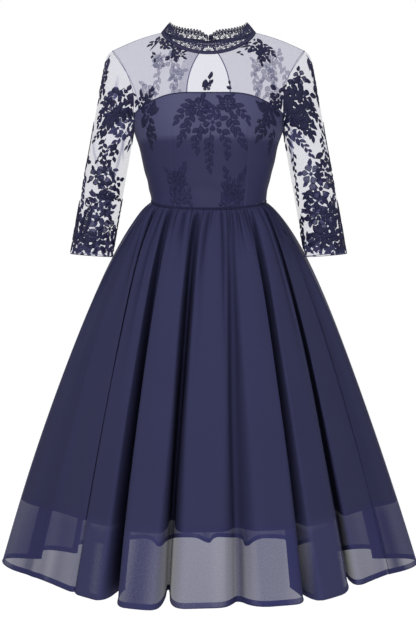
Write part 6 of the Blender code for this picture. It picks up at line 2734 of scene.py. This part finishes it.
@dataclass
class Skirt:
    """The gathered chiffon skirt and the shorter lining inside it, in three panels each."""

    form: SkirtForm
    looks: Looks
    rows: int = 124
    tuck: float = 0.0025            # of the top edge, up and inwards behind the waist band
    tuck_scale: float = 0.986
    # how far the hem lies doubled at each crest and valley in turn, from the right side seam; the
    # last value holds for the rest of the way round
    doubled: tuple[float, ...] = (
        0.15, 0.15, 0.25, 0.70, 1.00, 0.90, 0.60, 0.20, 0.05,
        0.20, 0.05, 0.70, 1.00, 0.50, 0.10, 0.20, 0.15,
    )
    lining_rows: int = 70
    lining_share: float = 0.824
    lining_inset: tuple[tuple[float, float], ...] = (   # at shares of the length
        (0.0, 0.0030), (0.045, 0.0038), (0.10, 0.0034), (0.20, 0.0018), (0.824, 0.0018),
    )
    crest_room: float = 0.40
    ripple: float = 0.0016
    hem: float = 0.0010
    hem_points: int = 520
    pucker_length: float = 0.10     # share of the length in which the finest gathers die away

    def rippled(self, points: Array, normals: Array, shares: Array) -> Array:
        """The cloth with slow soft ripples: sums of waves round and down it, none at its seam.

        Args:
            points: the cloth.
            normals: its outward normals.
            shares: shares of the cloth's length, from the waist down.

        Returns:
            The points, moved.
        """
        turn = np.linspace(0, math.tau, points.shape[1], endpoint=False)[None]
        t = shares[:, None]
        wave = (np.sin(41 * turn + 5.0 * t + 1.3 * np.sin(3 * turn))
                + 0.7 * np.sin(67 * turn - 7.0 * t + 2.1 * np.sin(5 * turn + 1))
                + 0.5 * np.sin(23 * turn + 11.0 * t))
        swell = ease(t, 0.02, 0.30) * (0.55 + 0.45 * t)
        return points + normals * (self.ripple * 0.5 * wave * swell)[..., None]

    def lining(self, shares: Array) -> tuple[Array, Array]:
        """The lining's grid: the rippled surface without gathers, drawn in along its normals.

        It is drawn in by the smaller of its inset and a share of each fold's own radius.

        Args:
            shares: shares of the cloth's length, from the waist down.

        Returns:
            The points and the normals.
        """
        points, normals = self.form.surface(shares, gathered=False)
        points = self.rippled(points, normals, shares)
        plan = points[..., :2]
        near, far = plan - np.roll(plan, 4, axis=1), np.roll(plan, -4, axis=1) - plan
        turning = near[..., 0] * far[..., 1] - near[..., 1] * far[..., 0]
        sizes = np.linalg.norm(near, axis=2) * np.linalg.norm(far, axis=2)
        chord = np.linalg.norm(near + far, axis=2)
        radius = sizes * chord / np.maximum(2 * turning, sizes * chord / 1000)
        places, insets = zip(*self.lining_inset)
        inset = smooth_between(shares, places, insets)
        room = np.minimum(inset[:, None], self.crest_room * radius)
        kernel = np.ones(9) / 9
        lowest = np.minimum.reduce([np.roll(room, k, axis=1) for k in range(-4, 5)])
        wrapped = np.concatenate([lowest[:, -4:], lowest, lowest[:, :4]], axis=1)
        room = np.stack([np.convolve(row, kernel, mode="valid") for row in wrapped])
        return points - normals * room[..., None], normals

    def build(self, rail: Rail) -> None:
        """Make the panels of both, each with a rolled hem.

        Args:
            rail: takes the finished pieces.
        """
        shares = np.linspace(0, 1, self.rows) ** 1.3
        points, normals = self.form.surface(shares)
        chiffon = self.rippled(points, normals, shares)
        columns = chiffon.shape[1]
        under, under_normals = self.lining(np.linspace(0, self.lining_share, self.lining_rows))
        seam, deep = self.form.seam_column(), self.form.folds(shares)
        layers = (
            ("skirt", "_chiffon", chiffon, normals, self.looks.chiffon, "skirt_chiffon", "gathered"),
            ("lining", "_cloth", under, under_normals, self.looks.lining, "skirt_lining", "hung"),
        )
        for part, ending, grid, outward, material, slot, held in layers:
            for place, (first, last) in self.form.spans().items():
                name = f"{part}_{place}"
                panel = ring_span(grid, first, last)[::-1].copy()
                tucked = panel[-1:] * (self.tuck_scale, self.tuck_scale, 1.0) + (0.0, 0.0, self.tuck)
                panel = np.concatenate([panel, tucked])
                if seam in (first, last):
                    edge, inner = (0, 1) if first == seam else (-1, -2)
                    apart = 0.9 * (1 - ease(np.linspace(1, 0, len(panel)), 0.03, 0.12))[:, None]
                    panel[:, edge] += (panel[:, inner] - panel[:, edge]) * apart
                piece = rail.wear(sheet_piece(name + ending, panel, material), slot, name)
                if part == "skirt":
                    rows = np.append(shares[::-1], 0.0)[:, None]
                    # the mask of the painted shade in the folds and between the gathers
                    fold = ring_span(deep, first, last)[::-1]
                    mark(piece, "fold", np.concatenate([fold, fold[-1:]]))
                    mark(piece, "gather", np.exp(-(rows / self.pucker_length) ** 2) + 0 * fold[:1])
                    around = np.arange(first, last + 1) / columns + 0 * rows
                    mark(piece, "around", around)
                    knot = around % 1 * columns / self.form.steps
                    mark(piece, "doubled", np.interp(knot, np.arange(len(self.doubled)), self.doubled))
                line = resampled(panel[0], self.hem_points)
                facing = resampled(ring_span(outward, first, last)[-1], self.hem_points)
                hem = joined(name + "_hem", [tubes(line[None], facing[None], self.hem, 6)],
                             self.looks.hem if part == "skirt" else self.looks.lining)
                rests = ["waist_band", f"lining_{place}"] if part == "skirt" else ["waist_band"]
                rail.cut(piece, panel, held, rests, [rail.wear(hem, slot)])


@dataclass
class Closure:
    """What closes the back: the collar's button and loop, and the zip's chain with its teeth."""

    form: BodyForm
    skirt: SkirtForm
    looks: Looks
    button_radius: float = 0.0046
    button_wall: float = 0.0026
    button_lean: float = 57.0       # degrees of its axis from the upright
    loop_radius: float = 0.0058
    loop_wire: float = 0.0006
    loop_reach: float = 145.0       # degrees, to both sides of its middle
    strand: float = 0.00040
    strand_wind: float = 0.00022
    zip_half_width: float = 0.0053
    zip_inset: float = 0.0020
    zip_top_z: float = -0.176
    zip_share: float = 0.15
    tooth: float = 0.00055
    tooth_pitch: float = 0.0016

    def round_piece(self, name: str, profile: Array, seat: Array, outward: Array, around: int,
                    material: Material) -> Piece:
        """A turned shape, closed at both poles, standing on a seat.

        Args:
            name: the piece's name.
            profile: radius and height of each ring, from below to above.
            seat: where its middle is.
            outward: its axis.
            around: points in a ring.
            material: its one material.

        Returns:
            The turned piece.
        """
        side = np.array([1.0, 0.0, 0.0])
        up = unit(np.cross(outward, side))
        angle = np.linspace(0, math.tau, around, endpoint=False)[None, :, None]
        rings = seat + profile[:, 1, None, None] * outward + profile[:, 0, None, None] * (
            np.cos(angle) * side + np.sin(angle) * up)
        low, high = seat + profile[0, 1] * outward, seat + profile[-1, 1] * outward
        vertices = np.concatenate([low[None], rings.reshape(-1, 3), high[None]])
        length = np.concatenate([[0.0], np.repeat(profile[:, 1] - profile[0, 1], around), [0.0]])
        turn = np.concatenate([[0.0], np.tile(angle.ravel(), len(profile)), [0.0]])
        uv = np.stack([turn, length], axis=-1)
        faces = stacked_rings(1, len(profile), around)
        return new_piece(name, vertices, faces, uv[faces], material)

    def build(self, rail: Rail, ring: Array) -> None:
        """Make the button, its loop and the zip's chain.

        Args:
            rail: takes the pieces.
            ring: the bodice's ring, its darts and seams pressed in.
        """
        seat = np.mean(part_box("collar_button"), axis=0)
        lean = math.radians(self.button_lean)
        outward = np.array([0.0, math.sin(lean), math.cos(lean)])
        r, w = self.button_radius, self.button_wall
        profile = np.array([        # a rounded rim round a shallow well
            (r * 0.55, -w / 2), (r * 0.86, -w / 2), (r * 0.97, -w * 0.34), (r, -w * 0.05),
            (r * 0.96, w * 0.20), (r * 0.84, w * 0.36), (r * 0.72, w * 0.40), (r * 0.66, w * 0.30),
            (r * 0.46, w * 0.36), (r * 0.24, w * 0.44), (r * 0.08, w * 0.48),
        ])
        button = self.round_piece("collar_button_shell", profile, seat, outward, 48, self.looks.button)
        rail.wear(button, "button_shell", "collar_button")

        side = np.array([1.0, 0.0, 0.0])
        up = unit(np.cross(outward, side))
        angle = np.radians(np.linspace(-self.loop_reach, self.loop_reach, 60))[:, None]
        centre = seat - outward * (self.button_wall / 2 - self.loop_wire)
        line = centre + self.loop_radius * (np.cos(angle) * side + np.sin(angle) * up)
        strands = []
        for start in (0.0, math.pi):
            phase = np.linspace(0, 26 * math.pi, 60)[:, None] + start
            radial = unit(line - centre)
            wound = line + self.strand_wind * (np.cos(phase) * radial + np.sin(phase) * outward)
            facing = np.broadcast_to(outward, wound.shape)[None]
            strands.append(tubes(wound[None], facing, self.strand, 6))
        loop = joined("collar_loop_cord", strands, self.looks.crochet)
        rail.wear(loop, "crochet_lace", "collar_loop")
        self.zip(rail, ring)

    def zip(self, rail: Rail, ring: Array) -> None:
        """The zip's tapes behind the centre-back seam, and two rows of small teeth on them.

        Args:
            rail: takes the finished pieces.
            ring: the bodice's ring, rows from the waist up.
        """
        back = self.form.centre() + ring.shape[1] // 2
        shares = np.linspace(self.zip_share, 0.0, 30)[:-1]
        skirt, _ = self.skirt.surface(shares[::-1], gathered=False)
        below = skirt[::-1, self.skirt.seam_column()]
        column = ring[:, back % ring.shape[1]]
        above = column[column[:, 2] < self.zip_top_z]
        line = np.concatenate([below, above, [(0.0, column[-1, 1], self.zip_top_z)]])
        line = resampled(line, 180) - (0.0, self.zip_inset, 0.0)
        across = np.linspace(self.zip_half_width, -self.zip_half_width, 7)
        grid = np.repeat(line[:, None], len(across), axis=1)
        grid[..., 0] = across
        tape = rail.wear(sheet_piece("zip_tape_cloth", grid, self.looks.tape), "zip_tape", "zip_chain")
        length = running_length(line, 0)[-1]
        count = int(length / self.tooth_pitch)
        spots = resampled(line, 2 * count + 1)[1:-1]
        teeth = []
        for side in (-1, 1):
            mid = spots[(side > 0)::2] + (side * 0.0004, 0.0006, 0.0)
            ends = np.array([-0.0008, 0.0, 0.0008])
            centres = np.repeat(mid[:, None], len(ends), axis=1)
            centres[..., 0] += ends
            facing = np.broadcast_to(np.array([0.0, 1.0, 0.0]), centres.shape)
            teeth.append(tubes(centres, facing, self.tooth, 5, flat=0.8))
        chain = rail.wear(joined("zip_teeth", teeth, self.looks.tooth), "zip_tape")
        rail.cut(tape, grid, "hung", ["bodice_back_left", "skirt_back_left"], [chain])
        for name in ("zip_slider", "zip_pull"):
            for slot in bpy.data.objects[name].material_slots:
                slot.material = self.looks.metal


# ---- the studio ---------------------------------------------------------------------------


@dataclass
class Studio:
    """A white studio: a pale floor, a white world behind, a broad light from the upper front and a
    fill.
    """

    camera_place: tuple[float, float, float] = (-0.001, -2.700, -0.572)
    lens: float = 76.0
    floor_z: float = -1.550
    ambient: float = 0.40
    middle: tuple[float, float, float] = (0.0, 0.0, -0.35)
    key_place: tuple[float, float, float] = (-0.5, -1.25, 1.9)
    key_size: float = 1.1
    key_power: float = 42.0
    fill_place: tuple[float, float, float] = (0.3, -2.8, -0.3)
    fill_size: float = 1.2
    fill_power: float = 26.0
    floor_half: float = 14.0

    def area_light(self, name: str, place: tuple[float, float, float], size: float,
                   power: float) -> None:
        """A square area light at a place, turned to the middle of the dress.

        Args:
            name: the light's name.
            place: where it is.
            size: its side.
            power: in watts.
        """
        data = bpy.data.lights.new(name, "AREA")
        data.shape, data.size, data.energy = "SQUARE", size, power
        lamp = bpy.data.objects.new(name, data)
        lamp.location = place
        aim = Vector(np.subtract(self.middle, place))
        lamp.rotation_euler = aim.to_track_quat("-Z", "Y").to_euler()
        bpy.context.scene.collection.objects.link(lamp)

    def floor(self) -> None:
        """A large pale floor, faintly bright of its own so that it meets the white world."""
        finish = Finish("studio_floor", (0.17, 0.17, 0.17), (0.15, 0.15, 0.15), 0.95, specular=0.0)
        graph, shader = Looks.start(finish)
        speckle = graph.noise(graph.object_place(), 6.0, 3.0)
        colour = graph.blend(speckle, four(finish.shade), four(finish.colour))
        graph.feed(shader.inputs["Base Color"], colour)
        shader.inputs["Emission Color"].default_value = (1.0, 1.0, 1.0, 1.0)
        shader.inputs["Emission Strength"].default_value = 0.94
        corners = self.floor_half * np.array([(-1.0, -1.0), (1.0, -1.0), (1.0, 1.0), (-1.0, 1.0)])
        vertices = np.concatenate([corners, np.full((4, 1), self.floor_z)], axis=1)
        faces = np.array([[0, 1, 2, 3]])
        new_piece("studio_floor", vertices, faces, corners[faces], graph.material())

    def build(self) -> None:
        """Set up the camera, the world, the lights and the floor."""
        scene = bpy.context.scene
        data = bpy.data.cameras.new("camera")
        data.lens, data.sensor_width, data.clip_end = self.lens, 36.0, 60.0
        camera = bpy.data.objects.new("camera", data)
        camera.location = self.camera_place
        camera.rotation_euler = (math.pi / 2, 0.0, 0.0)
        scene.collection.objects.link(camera)
        scene.camera = camera
        scene.view_settings.view_transform = "Standard"
        world = bpy.data.worlds.new("studio")
        world.use_nodes = True
        graph, sky = Graph(world.node_tree), world.node_tree.nodes["Background"]
        sky.inputs["Color"].default_value = (1.0, 1.0, 1.0, 1.0)
        seen = graph.node("ShaderNodeLightPath").outputs["Is Camera Ray"]
        strength = graph.math("MULTIPLY_ADD", seen, 1.0 - self.ambient, self.ambient)
        graph.feed(sky.inputs["Strength"], strength)
        scene.world = world
        self.area_light("key", self.key_place, self.key_size, self.key_power)
        self.area_light("fill", self.fill_place, self.fill_size, self.fill_power)
        self.floor()


def main() -> None:
    """Build the studio and every piece of the dress."""
    logging.basicConfig(level=logging.INFO, format="%(message)s")
    Studio().build()
    form, looks, rail = BodyForm(), Looks(), Rail()
    skirt = SkirtForm(form)
    ring = Bodice(form, looks).build(rail)
    Waist(form, looks).build(rail, ring)
    Yoke(form, looks).build(rail)
    Sleeves(form, looks).build(rail)
    Collar(form, looks).build(rail)
    Skirt(skirt, looks).build(rail)
    Closure(form, skirt, looks).build(rail, ring)
    LOG.info("%d pieces", len(rail.pieces))


if __name__ == "__main__":
    main()
